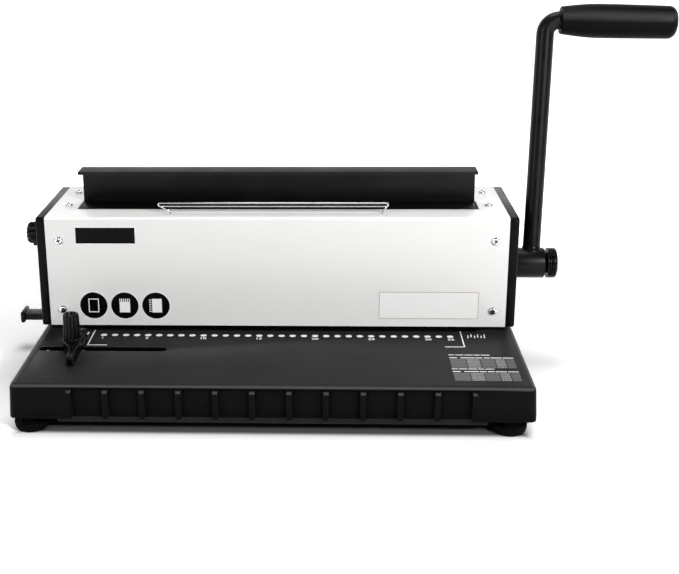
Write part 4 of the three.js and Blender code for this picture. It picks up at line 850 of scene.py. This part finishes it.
# How far the crosses are turned, in degrees: two on the front from the top down, and two on the top.
cross_turns = {"left": (20, 65, 35, 10), "right": (50, 5, 25, 70)}
for side in ("left", "right"):
    for level, turn in zip(("top", "bottom"), cross_turns[side]):
        low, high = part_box(f"front_screw_{level}_{side}")
        seat = ((low.x + high.x) / 2, cover_low.y, (low.z + high.z) / 2)
        screw = set_screw(f"front_pan_head_{level}_{side}", seat, (0, -1, 0), turn)
        fit(screw, "machine", "chrome", f"front_screw_{level}_{side}")
    for row, turn in zip(("front", "rear"), cross_turns[side][2:]):
        low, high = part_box(f"top_screw_{row}_{side}")
        seat = ((low.x + high.x) / 2, (low.y + high.y) / 2, cover_high.z)
        screw = set_screw(f"top_pan_head_{row}_{side}", seat, (0, 0, 1), turn)
        fit(screw, "machine", "chrome", f"top_screw_{row}_{side}")
bpy.data.objects.remove(screw_pattern)

# Closer jaw. A black enamelled steel angle whose web comes up through the top and is folded forwards
# into a flange, which does the pressing. Its lower corners are notched over the leg guides.
enamel = Finish("black_enamel_coat", (0.0030, 0.0030, 0.0033), 0.33, specular=0.16, sheen=0.15)
enamel.mottle(0.03, 4, 0.5, 0.75, 0.4, (0.008, 0.0078, 0.0078))
# The flange's top is painted a lighter grey, a painted sheen for the light it catches, and its specular
# and sheen are turned down there.
flange_top_painted_light = enamel.upward(0.9, 0.98)
enamel.steer("Specular IOR Level", flange_top_painted_light, 0.16, 0.02)
enamel.steer("Sheen Weight", flange_top_painted_light, 0.15, 0.02)
enamel.tint(flange_top_painted_light, (0.014, 0.014, 0.016))
enamel.worn(0.0005, 0.0012, (0.09, 0.09, 0.095))
enamel.gloss(0.02, 4, 0.27, 0.4)
enamel.relief(enamel.noise(0.0013, 2), 0.00004, 0.4)
jaw_sheet = 0.0023
jaw_fold = 0.0026
jaw_travel = 0.016
notch_clearance = 0.0003
notch_width = 0.008
notch_depth = 0.005
notch_overrun = 0.001
notch_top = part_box("jaw_guide_left")[1].z + jaw_travel + notch_clearance
section = [
    (jaw_high.y, jaw_low.z),
    (jaw_high.y, jaw_high.z),
    (jaw_low.y, jaw_high.z),
]
bm = folded_sheet(section, 1, jaw_fold, jaw_sheet, jaw_low.x, jaw_high.x)
jaw = finished("closer_angle", bm, enamel)
cut_away(jaw, [
    block(
        (x - notch_width, jaw_high.y - notch_depth, jaw_low.z - notch_overrun),
        (x + notch_width, jaw_high.y + notch_overrun, notch_top),
    )
    for x in (jaw_low.x, jaw_high.x)
])
soften_cut(jaw, 0.0004, 3)
fit(jaw, "jaw", "black_enamel", "closer_jaw")

# Anvil. The lower jaw, a blackened steel plate that fills the top opening and is lifted by the
# adjuster's two cams.
rounded_copy("anvil_plate", "anvil", blackened, 0.0004, 2, "lower_jaw", "black_enamel")

# Adjuster knob. Black plastic with twelve finger grooves, a thin skirt against the side cover and a
# pointer that leaves the skirt downwards.
low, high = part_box("adjuster_knob")
shaft_low, shaft_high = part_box("adjuster_shaft")
adjuster_centre = (0, (shaft_low.y + shaft_high.y) / 2, (shaft_low.z + shaft_high.z) / 2)
skirt_radius = high.z - adjuster_centre[2]
skirt_lip = 0.0015
skirt_thickness = 0.002
finger_depth = 0.0013
grip_radius = skirt_radius - skirt_lip
skirt = high.x - skirt_thickness
knob_end = low.x
profile = [
    (high.x, 0),
    (high.x, skirt_radius - 0.0004),
    (high.x - 0.0005, skirt_radius),
    (skirt + 0.0005, skirt_radius),
    (skirt, skirt_radius - 0.0006),
    (skirt - 0.0003, grip_radius),
    *[(skirt - along, grip_radius) for along in (0.0015, 0.0035, 0.0055, 0.0075)],
    *rounding((knob_end + 0.0022, grip_radius - 0.0024), 0.0022, 90, 170, 6),
    (knob_end, grip_radius * 0.45),
    (knob_end + 0.0005, grip_radius * 0.4),
    (knob_end + 0.0005, 0),
]
bm = lathe(profile, adjuster_centre, (1, 0, 0), 144)
flute_low = knob_end - 0.001
flute_high = skirt - 0.0008
flute(bm, adjuster_centre, (1, 0, 0), 12, finger_depth, grip_radius * 0.62, flute_low, flute_high)
adjuster = finished("fluted_adjuster", bm, guide_plastic, 40)
fit(adjuster, "adjuster", "black_plastic", "adjuster_knob")
pointer_length = 0.0104
pointer_root = 0.0028
pointer_tip = 0.0014
pointer_top = 0.0062
pointer_gap = 0.0003
bm = bmesh.new()
rim = []
for x in (high.x - pointer_length, high.x - pointer_gap):
    rim.append([
        bm.verts.new((x, adjuster_centre[1] + side * half, z))
        for side, half, z in (
            (-1, pointer_tip, low.z),
            (1, pointer_tip, low.z),
            (1, pointer_root, adjuster_centre[2] - pointer_top),
            (-1, pointer_root, adjuster_centre[2] - pointer_top),
        )
    ])
bm.faces.new(rim[0])
bm.faces.new(rim[1])
for i in range(4):
    bm.faces.new((rim[0][i], rim[0][i - 1], rim[1][i - 1], rim[1][i]))
bmesh.ops.recalc_face_normals(bm, faces=bm.faces)
soften(bm, 0.0005, 3)
pointer = finished("adjuster_pointer", bm, guide_plastic, 40)
fit(pointer, "adjuster", "black_plastic")

# Handle hub. A turned steel boss on the shaft's end, painted satin black, with a bright thin washer
# behind it and a grooved plastic cap on its end.
low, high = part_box("handle_hub")
hub_y = (low.y + high.y) / 2
hub_z = (low.z + high.z) / 2
hub_radius = (high.z - low.z) / 2
hub_centre = (0, hub_y, hub_z)
chamfer = 0.0008
hub_paint = Finish("hub_paint", (0.0024, 0.0024, 0.0026), 0.3, specular=0.16)
hub_paint.worn(0.0005, 0.001, (0.12, 0.12, 0.125))
hub_paint.gloss(0.015, 4, 0.3, 0.42)
hub_paint.relief(hub_paint.noise(0.001, 2), 0.00003, 0.4)
profile = [
    (low.x, 0),
    (low.x, hub_radius - chamfer),
    (low.x + chamfer, hub_radius),
    (high.x - chamfer, hub_radius),
    (high.x, hub_radius - chamfer),
    (high.x, 0),
]
bm = lathe(profile, hub_centre, (1, 0, 0), 96)
soften(bm, 0.00025, 2)
hub = finished("turned_hub", bm, hub_paint)
fit(hub, "handle", "black_enamel", "handle_hub")

low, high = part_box("hub_washer")
washer_bore = 0.0061
profile = [(low.x, washer_bore), (low.x, hub_radius), (high.x, hub_radius), (high.x, washer_bore)]
bm = lathe(profile, hub_centre, (1, 0, 0), 96, ring=True)
soften(bm, 0.0002, 2)
washer = finished("thrust_washer", bm, zinc)
fit(washer, "handle", "zinc_plate", "hub_washer")

low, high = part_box("hub_cap")
groove_depth = 0.0011
groove_width = 0.0009
groove_wall = 0.0002
groove_lead = 0.0003
groove_count = 3
neck_length = 0.0018
neck_radius = 0.0080
cap_round = 0.00216
dimple_radius = 0.0045
dimple_floor = 0.0040
dimple_depth = 0.0004
neck_end = low.x + neck_length
profile = [(low.x, 0), (low.x, neck_radius), (neck_end, neck_radius), (neck_end, hub_radius)]
for i in range(groove_count):
    start = neck_end + groove_width * (1 + 2 * i) - groove_lead
    profile += [
        (start, hub_radius),
        (start + groove_wall, hub_radius - groove_depth),
        (start + groove_width - groove_wall, hub_radius - groove_depth),
        (start + groove_width, hub_radius),
    ]
profile += [
    *rounding((high.x - cap_round, hub_radius - cap_round), cap_round, 90, 0, 8),
    (high.x, dimple_radius),
    (high.x - dimple_depth, dimple_floor),
    (high.x - dimple_depth, 0),
]
bm = lathe(profile, hub_centre, (1, 0, 0), 96)
soften(bm, 0.00015, 1, 50)
ribbed = Finish("ribbed_cap_plastic", (0.0015, 0.0015, 0.0016), 0.28, specular=0.14)
ribbed.worn(0.0004, 0.0010, (0.16, 0.16, 0.165))
ribbed.gloss(0.004, 3, 0.22, 0.34)
ribbed.hollows(0.003, 0.01, 0.16)
ribbed.relief(ribbed.noise(0.0006, 2), 0.00003, 0.5)
cap = finished("grooved_cap", bm, ribbed, 40)
fit(cap, "handle", "black_plastic", "hub_cap")

# Handle rod. Steel bar, painted satin black: it stands in the hub, leans back and out, and is bent
# through a right angle into the grip.
reach = 0.1865
bend_radius = 0.0105
rod_radius = 0.0067
lean = math.radians(9)
splay = math.radians(1.9)
droop = math.radians(1.5)
rod_start = 0.0079
grip_length = 0.0868
grip_gap = 0.0003
grip_socket = 0.0787
rod_foot_in = 0.0158
foot_point = Vector((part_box("handle_hub")[0].x + rod_foot_in, hub_y, hub_z))
rod_way = Vector((math.sin(splay), math.sin(lean), math.cos(lean))).normalized()
grip_way = Vector((math.cos(droop), 0, -math.sin(droop)))
bend_side = (grip_way - rod_way * grip_way.dot(rod_way)).normalized()
bend_centre = foot_point + rod_way * (reach - bend_radius) + bend_side * bend_radius
bend_angle = rod_way.angle(grip_way)
bend_axis = bend_side.cross(rod_way)

# The rod is thicker where it leaves the hub. Each pair is a height and what it adds to the radius.
rod_foot = [(rod_start, 0.0013), (0.0107, 0.0013), (0.0114, 0.0007), (0.0124, 0.0002), (0.0136, 0)]


def pull(bm, edges, way, shrink=1.0):
    """Extrudes a ring of edges by a vector, shrinks it round its middle and returns the new ring."""
    grown = bmesh.ops.extrude_edge_only(bm, edges=edges)
    moved = move_new(bm, grown, way)
    middle = sum((vert.co for vert in moved), Vector()) / len(moved)
    for vert in moved:
        vert.co = middle + (vert.co - middle) * shrink
    return [item for item in grown["geom"] if isinstance(item, bmesh.types.BMEdge)]


bm = bmesh.new()
stand_up = Vector((0, 0, 1)).rotation_difference(rod_way).to_matrix().to_4x4()
ring = bmesh.ops.create_circle(
    bm,
    cap_ends=False,
    segments=48,
    radius=rod_radius + rod_foot[0][1],
    matrix=Matrix.Translation(foot_point + rod_way * rod_start) @ stand_up,
)
bottom = list({edge for vert in ring["verts"] for edge in vert.link_edges})
edges = bottom
for (height, extra), (next_height, next_extra) in zip(rod_foot, rod_foot[1:]):
    shrink = (rod_radius + next_extra) / (rod_radius + extra)
    edges = pull(bm, edges, rod_way * (next_height - height), shrink)
edges = pull(bm, edges, rod_way * (reach - bend_radius - rod_foot[-1][0]))
turned = bmesh.ops.spin(
    bm,
    geom=edges,
    cent=bend_centre,
    axis=-bend_axis,
    angle=bend_angle,
    steps=20,
    use_merge=False,
)["geom_last"]
edges = [item for item in turned if isinstance(item, bmesh.types.BMEdge)]
edges = pull(bm, edges, grip_way * grip_socket)
bmesh.ops.contextual_create(bm, geom=edges)
bmesh.ops.contextual_create(bm, geom=bottom)
bmesh.ops.remove_doubles(bm, verts=bm.verts, dist=1e-7)
bmesh.ops.recalc_face_normals(bm, faces=bm.faces)
soften(bm, 0.0005, 2)
rod = finished("bent_rod", bm, hub_paint)
fit(rod, "handle", "black_enamel", "handle_rod")

# Grip. A soft satin black sleeve over the rod's end, slim where it starts, full a third of the way
# along, and round at its end.
neck = 0.0104
full = 0.01285
tail = 0.0123
swell = 0.030
end_round = 0.006
rim_round = 0.0007
socket_gap = 0.00005
socket_depth = 0.004
swell_steps = 14
taper_steps = 8
grip_start = bend_centre - bend_side * bend_radius
grip_start = bend_centre + Matrix.Rotation(-bend_angle, 3, bend_axis) @ (grip_start - bend_centre)
grip_start = grip_start + grip_way * grip_gap
grip_skin = Finish("grip_skin", (0.0018, 0.0018, 0.0021), 0.4, specular=0.05, sheen=0.0)
grip_skin.mottle(0.015, 4, 0.5, 0.75, 0.5, (0.005, 0.0049, 0.0049))
# Painted highlight: a lighter band along the grip's upper side, with the top above it painted dark
# again.
grip_skin.tint(grip_skin.upward(0.02, 0.48), (0.044, 0.044, 0.047))
grip_skin.tint(grip_skin.upward(0.40, 0.78), (0.003, 0.003, 0.0034))
grip_skin.gloss(0.01, 4, 0.38, 0.52)
grip_skin.relief(grip_skin.cells(0.0006), 0.00004, 0.5)
swell_points = []
for i in range(1, swell_steps + 1):
    share = i / swell_steps
    along = rim_round + (swell - rim_round) * share
    swell_points.append((along, neck + (full - neck) * math.sin(share * math.pi / 2)))
taper_points = []
for i in range(1, taper_steps):
    share = i / taper_steps
    along = swell + (grip_length - end_round - swell) * share
    taper_points.append((along, full + (tail - full) * share ** 1.5))
profile = [
    (socket_depth, rod_radius + socket_gap),
    (0.0003, rod_radius + socket_gap),
    (0, rod_radius + 0.0004),
    *rounding((rim_round, neck - rim_round), rim_round, 180, 90, 4),
    *swell_points,
    *taper_points,
    *rounding((grip_length - end_round, tail - end_round), end_round, 90, 0, 10),
    (grip_length, 0.003),
    (grip_length - 0.0003, 0.0026),
    (grip_length - 0.0003, 0),
]
bm = lathe(profile, grip_start, grip_way, 96)
bmesh.ops.holes_fill(bm, edges=[edge for edge in bm.edges if edge.is_boundary], sides=0)
bmesh.ops.recalc_face_normals(bm, faces=bm.faces)
grip = finished("grip_sleeve", bm, grip_skin, 40)
fit(grip, "handle", "black_plastic", "handle_grip")

# Wire holder. Chromed wire on the front of the top: a long flat loop, welded to two legs that stand
# in holes in the cover.
bright_wire = Finish("bright_wire", (0.55, 0.55, 0.57), 0.16, metallic=1.0)
bright_wire.mottle(0.003, 3, 0.5, 0.7, 0.5, (0.36, 0.36, 0.38))
bright_wire.gloss(0.002, 3, 0.12, 0.24)
wire_low, wire_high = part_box("wire_holder")
wire_radius = 0.00062
loop_radius = 0.0012
loop_z = wire_high.z - wire_radius - loop_radius
wire_y = (wire_low.y + wire_high.y) / 2
loop_left = wire_low.x + wire_radius + loop_radius
loop_right = wire_high.x - wire_radius - loop_radius
leg_spread = 0.0795
leg_bend = ((0, 0.0008), (0.0002, 0.0014), (0.0006, 0.0020))


def from_curve(curve):
    """A mesh of a curve or of a line of text, with its seams closed."""
    holder = bpy.data.objects.new(curve.name, curve)
    scene.collection.objects.link(holder)
    bpy.context.view_layer.update()
    mesh = bpy.data.meshes.new_from_object(holder.evaluated_get(bpy.context.evaluated_depsgraph_get()))
    bpy.data.objects.remove(holder)
    bm = bmesh.new()
    bm.from_mesh(mesh)
    bmesh.ops.remove_doubles(bm, verts=bm.verts, dist=1e-7)
    bmesh.ops.recalc_face_normals(bm, faces=bm.faces)
    return bm


def wire_piece(name, points, closed):
    """Bends a round wire through the points."""
    curve = bpy.data.curves.new(name, "CURVE")
    curve.dimensions = "3D"
    curve.bevel_depth = wire_radius
    curve.bevel_resolution = 4
    curve.use_fill_caps = True
    spline = curve.splines.new("POLY")
    spline.points.add(len(points) - 1)
    for point, place in zip(spline.points, points):
        point.co = (*place, 1)
    spline.use_cyclic_u = closed
    return finished(name, from_curve(curve), bright_wire, 40)


loop_line = [
    *rounding((loop_right, loop_z), loop_radius, -90, 90, 10),
    *rounding((loop_left, loop_z), loop_radius, 90, 270, 10),
]
loop = wire_piece("wire_loop", [(x, wire_y, z) for x, z in loop_line], True)
fit(loop, "machine", "chrome", "wire_holder")
for side, x, end_x in (
    ("left", middle_x - leg_spread, loop_left),
    ("right", middle_x + leg_spread, loop_right),
):
    way = 1 if end_x > x else -1
    points = [
        (x, wire_y, wire_low.z),
        *[(x + way * out, wire_y, cover_high.z + up) for out, up in leg_bend],
        (end_x + way * loop_radius * 0.5, wire_y, loop_z - loop_radius * 0.7),
    ]
    leg = wire_piece(f"wire_leg_{side}", points, False)
    fit(leg, "machine", "chrome")

# Printing on the base. White ink: thirty-two round marks at the hole pitch with their numbers, a
# corner mark at each end, short ticks beside them, and a ruled size table with grey fields.
ink = Finish("white_ink", (0.92, 0.92, 0.91), 0.5)
ink.mottle(0.0006, 4, 0.55, 0.7, 0.3, (0.7, 0.7, 0.7))
ink.gloss(0.001, 3, 0.4, 0.6)
grey_ink = Finish("grey_ink", (0.10, 0.102, 0.108), 0.45)
grey_ink.mottle(0.0008, 4, 0.5, 0.7, 0.5, (0.06, 0.061, 0.065))
grey_ink.gloss(0.001, 3, 0.4, 0.55)
pale_ink = Finish("pale_grey_ink", (0.26, 0.265, 0.275), 0.45)
pale_ink.mottle(0.0007, 5, 0.42, 0.6, 0.8, (0.09, 0.09, 0.095))
pale_ink.gloss(0.001, 3, 0.4, 0.55)
ink_thickness = 0.00004
ink_sunk = 0.00002
pitch = 0.0254 / 3
mark_count = 32
mark_y = 0.0975
mark_size = 0.0049
number_height = 0.0036
number_size = number_height / 0.7
number_bold = 0.00012
number_ahead = 0.0062
corner_x = 0.1398
corner_far = 0.1086
corner_near = 0.0764
corner_inner = 0.1253
corner_upright_line = 0.0009
corner_foot_line = 0.0011
left_tick_line = 0.0012
right_tick_line = 0.0008
left_tick = ((-0.1441, 0.0985), (-0.1439, 0.1035))
right_ticks = (
    (0.1443, 0.0945, 0.1010),
    (0.1468, 0.0965, 0.1030),
    (0.1492, 0.0945, 0.1000),
    (0.1517, 0.0960, 0.1030),
    (0.1541, 0.0950, 0.1000),
    (0.1566, 0.0945, 0.1030),
)
tick_lean = 0.0006


def on_base(x, y):
    """A point of the print, measured from the middle of the base's front edge."""
    return Vector((middle_x + x, base_low.y + y, base_high.z - ink_sunk))


def stroke(bm, start, end, width):
    """A straight line of ink between two points."""
    a = on_base(*start)
    b = on_base(*end)
    along = (b - a).normalized()
    across = Vector((-along.y, along.x, 0)) * width / 2
    bm.faces.new([bm.verts.new(p) for p in (a - across, b - across, b + across, a + across)])


def patch(bm, left, right, near, far):
    """A rectangle of ink."""
    stroke(bm, (left, (near + far) / 2), (right, (near + far) / 2), far - near)


def thicken(bm, way):
    """Gives flat faces a thickness."""
    move_new(bm, bmesh.ops.extrude_face_region(bm, geom=list(bm.faces), use_keep_orig=True), way)
    bmesh.ops.recalc_face_normals(bm, faces=bm.faces)


def printed(name, bm, finish):
    """Gives flat ink its thickness and puts it on the machine."""
    bmesh.ops.recalc_face_normals(bm, faces=bm.faces)
    for face in bm.faces:
        if face.normal.z < 0:
            face.normal_flip()
    thicken(bm, (0, 0, ink_thickness))
    fit(finished(name, bm, finish), "machine", "white_enamel")


bm = bmesh.new()
for i in range(mark_count):
    place = Matrix.Translation(on_base((i - (mark_count - 1) / 2) * pitch, mark_y))
    bmesh.ops.create_circle(bm, cap_ends=True, segments=24, radius=mark_size / 2, matrix=place)
for side in (-1, 1):
    x = side * corner_x
    outer = side * (corner_x + 0.0004)
    stroke(bm, (x, corner_far), (x, corner_near - 0.0002), corner_upright_line)
    stroke(bm, (outer, corner_near), (side * corner_inner, corner_near), corner_foot_line)
stroke(bm, *left_tick, left_tick_line)
for x, near, far in right_ticks:
    stroke(bm, (x, near), (x + tick_lean, far), right_tick_line)
printed("printed_marks", bm, ink)

for number in (1, 5, 10, 15, 20, 25, 30, 32):
    text = bpy.data.curves.new(f"number_{number}", "FONT")
    text.body = str(number)
    text.size = number_size
    text.align_x = "CENTER"
    text.align_y = "CENTER"
    text.extrude = ink_thickness / 2
    text.offset = number_bold
    text.resolution_u = 4
    bm = from_curve(text)
    place = on_base((number - 1 - (mark_count - 1) / 2) * pitch, mark_y - number_ahead)
    bmesh.ops.translate(bm, vec=place + Vector((0, 0, ink_thickness / 2)), verts=bm.verts)
    digits = finished(f"printed_number_{number}", bm, ink)
    fit(digits, "machine", "white_enamel")

title_marks = ((0.1263, 0.1305), (0.1312, 0.1372), (0.1380, 0.1440), (0.1446, 0.1490), (0.1497, 0.1560))
head_marks = (
    (0.1265, 0.1320),
    (0.1345, 0.1445),
    (0.1452, 0.1500),
    (0.1510, 0.1555),
    (0.1562, 0.1640),
    (0.1648, 0.1722),
)
dark_fields = ((0.1266, 0.1378), (0.1482, 0.1580), (0.1662, 0.1722))
pale_fields = ((0.1385, 0.1475), (0.1587, 0.1655))
title_line = 0.0011
head_line = 0.0013
table_rows = 6
field_share = 0.82
head_gap = 0.0020
white = bmesh.new()
dark = bmesh.new()
pale = bmesh.new()
for head_y, foot_y, title_y in ((0.0548, 0.0358, 0.0603), (0.0289, 0.0126, 0.0337)):
    for left, right in title_marks:
        stroke(white, (left, title_y), (right, title_y), title_line)
    for left, right in head_marks:
        stroke(white, (left, head_y), (right, head_y), head_line)
    row_depth = (head_y - head_gap - foot_y) / table_rows
    for row in range(table_rows):
        near = foot_y + row_depth * row
        for bm, fields in ((dark, dark_fields), (pale, pale_fields)):
            for left, right in fields:
                patch(bm, left, right, near, near + row_depth * field_share)
printed("table_rules", white, ink)
printed("table_fields", dark, grey_ink)
printed("table_values", pale, pale_ink)

# Badges on the front cover. A bare black plate, three black discs with plain pictures of a sheet, a
# punched sheet and a bound book, and a blank label with a thin red-brown frame.
badge_black = Finish("badge_black", (0.0012, 0.0012, 0.0012), 0.3, specular=0.06)
badge_black.mottle(0.004, 3, 0.5, 0.7, 0.4, (0.0024, 0.0024, 0.0026))
badge_black.gloss(0.006, 3, 0.24, 0.36)
badge_white = Finish("badge_white", (0.86, 0.86, 0.85), 0.35)
badge_white.mottle(0.002, 3, 0.5, 0.7, 0.3, (0.80, 0.80, 0.79))
badge_white.gloss(0.003, 3, 0.3, 0.42)
badge_white.relief(badge_white.noise(0.0008, 2), 0.00001, 0.3)
label_red = Finish("label_red", (0.30, 0.09, 0.07), 0.45)
label_red.mottle(0.001, 3, 0.45, 0.65, 0.5, (0.45, 0.25, 0.22))
label_red.gloss(0.001, 3, 0.38, 0.55)
badge_rise = 0.00015
border_rise = 0.6 * badge_rise
label_rise = 0.4 * badge_rise
picture_rise = 0.0002
badge_sunk = 0.0001
badge_border = 0.0007
# Heights of badges are counted from this far below the base's top.
badge_zero_below = 0.0339
plate_left, plate_right, plate_bottom, plate_top = (-0.1507, -0.1046, 0.1036, 0.1172)
disc_places = (-0.1392, -0.1154, -0.0915)
disc_z = 0.0551
disc_radius = 0.0105
sheet_half_width = 0.0040
sheet_half_height = 0.0055
sheet_line = 0.0007
tooth_count = 6
tooth_step = 0.00145
tooth_width = 0.00075
tooth_foot = 0.0030
book_left = 0.0030
book_right = 0.0045
ring_step = 0.0018
ring_low = 0.0049
ring_line = 0.0008
ring_left = 0.0052
ring_right = 0.0036
label_place = (0.0778, 0.1523, 0.0455, 0.0667)
label_line = 0.0003


def on_front(name, bm, finish, rise, slot):
    """Turns flat faces drawn in x and z into a thin badge that stands out from the front cover."""
    start = (middle_x, cover_low.y + badge_sunk, base_high.z - badge_zero_below)
    bmesh.ops.translate(bm, vec=start, verts=bm.verts)
    thicken(bm, (0, -badge_sunk - rise, 0))
    fit(finished(name, bm, finish), "machine", slot)


def tile(bm, left, right, low, high):
    """A rectangle in x and z."""
    corners = ((left, low), (right, low), (right, high), (left, high))
    bm.faces.new([bm.verts.new((x, 0, z)) for x, z in corners])


def outline(bm, left, right, low, high, line):
    """Four thin tiles inside the edges of a rectangle."""
    tile(bm, left, right, high - line, high)
    tile(bm, left, right, low, low + line)
    tile(bm, left, left + line, low + line, high - line)
    tile(bm, right - line, right, low + line, high - line)


for name, finish, slot, rise, border in (
    ("plate_border", badge_white, "white_enamel", border_rise, 0),
    ("bare_plate", badge_black, "black_enamel", badge_rise, badge_border),
):
    bm = bmesh.new()
    tile(bm, plate_left + border, plate_right - border, plate_bottom + border, plate_top - border)
    on_front(name, bm, finish, rise, slot)
for name, finish, slot, rise, border in (
    ("disc_borders", badge_white, "white_enamel", border_rise, badge_border),
    ("black_discs", badge_black, "black_enamel", badge_rise, 0),
):
    bm = bmesh.new()
    for x in disc_places:
        place = Matrix.Translation((x, 0, disc_z)) @ Matrix.Rotation(math.pi / 2, 4, "X")
        radius = disc_radius + border
        bmesh.ops.create_circle(bm, cap_ends=True, segments=64, radius=radius, matrix=place)
    on_front(name, bm, finish, rise, slot)

bm = bmesh.new()
bottom = disc_z - sheet_half_height
top = disc_z + sheet_half_height
x = disc_places[0]
outline(bm, x - sheet_half_width, x + sheet_half_width, bottom, top, sheet_line)
x = disc_places[1]
tile(bm, x - sheet_half_width, x + sheet_half_width, bottom, disc_z + tooth_foot)
for i in range(tooth_count):
    left = x - sheet_half_width + i * tooth_step
    tile(bm, left, left + tooth_width, disc_z + tooth_foot, top)
x = disc_places[2]
tile(bm, x - book_left, x + book_right, bottom, top)
for i in range(tooth_count):
    ring_z = disc_z - ring_low + i * ring_step
    tile(bm, x - ring_left, x - ring_right, ring_z, ring_z + ring_line)
on_front("disc_pictures", bm, badge_white, picture_rise, "white_enamel")

bm = bmesh.new()
tile(bm, *label_place)
on_front("blank_label", bm, badge_white, label_rise, "white_enamel")
bm = bmesh.new()
outline(bm, *label_place, label_line)
on_front("label_frame", bm, label_red, border_rise, "white_enamel")

low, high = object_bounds()
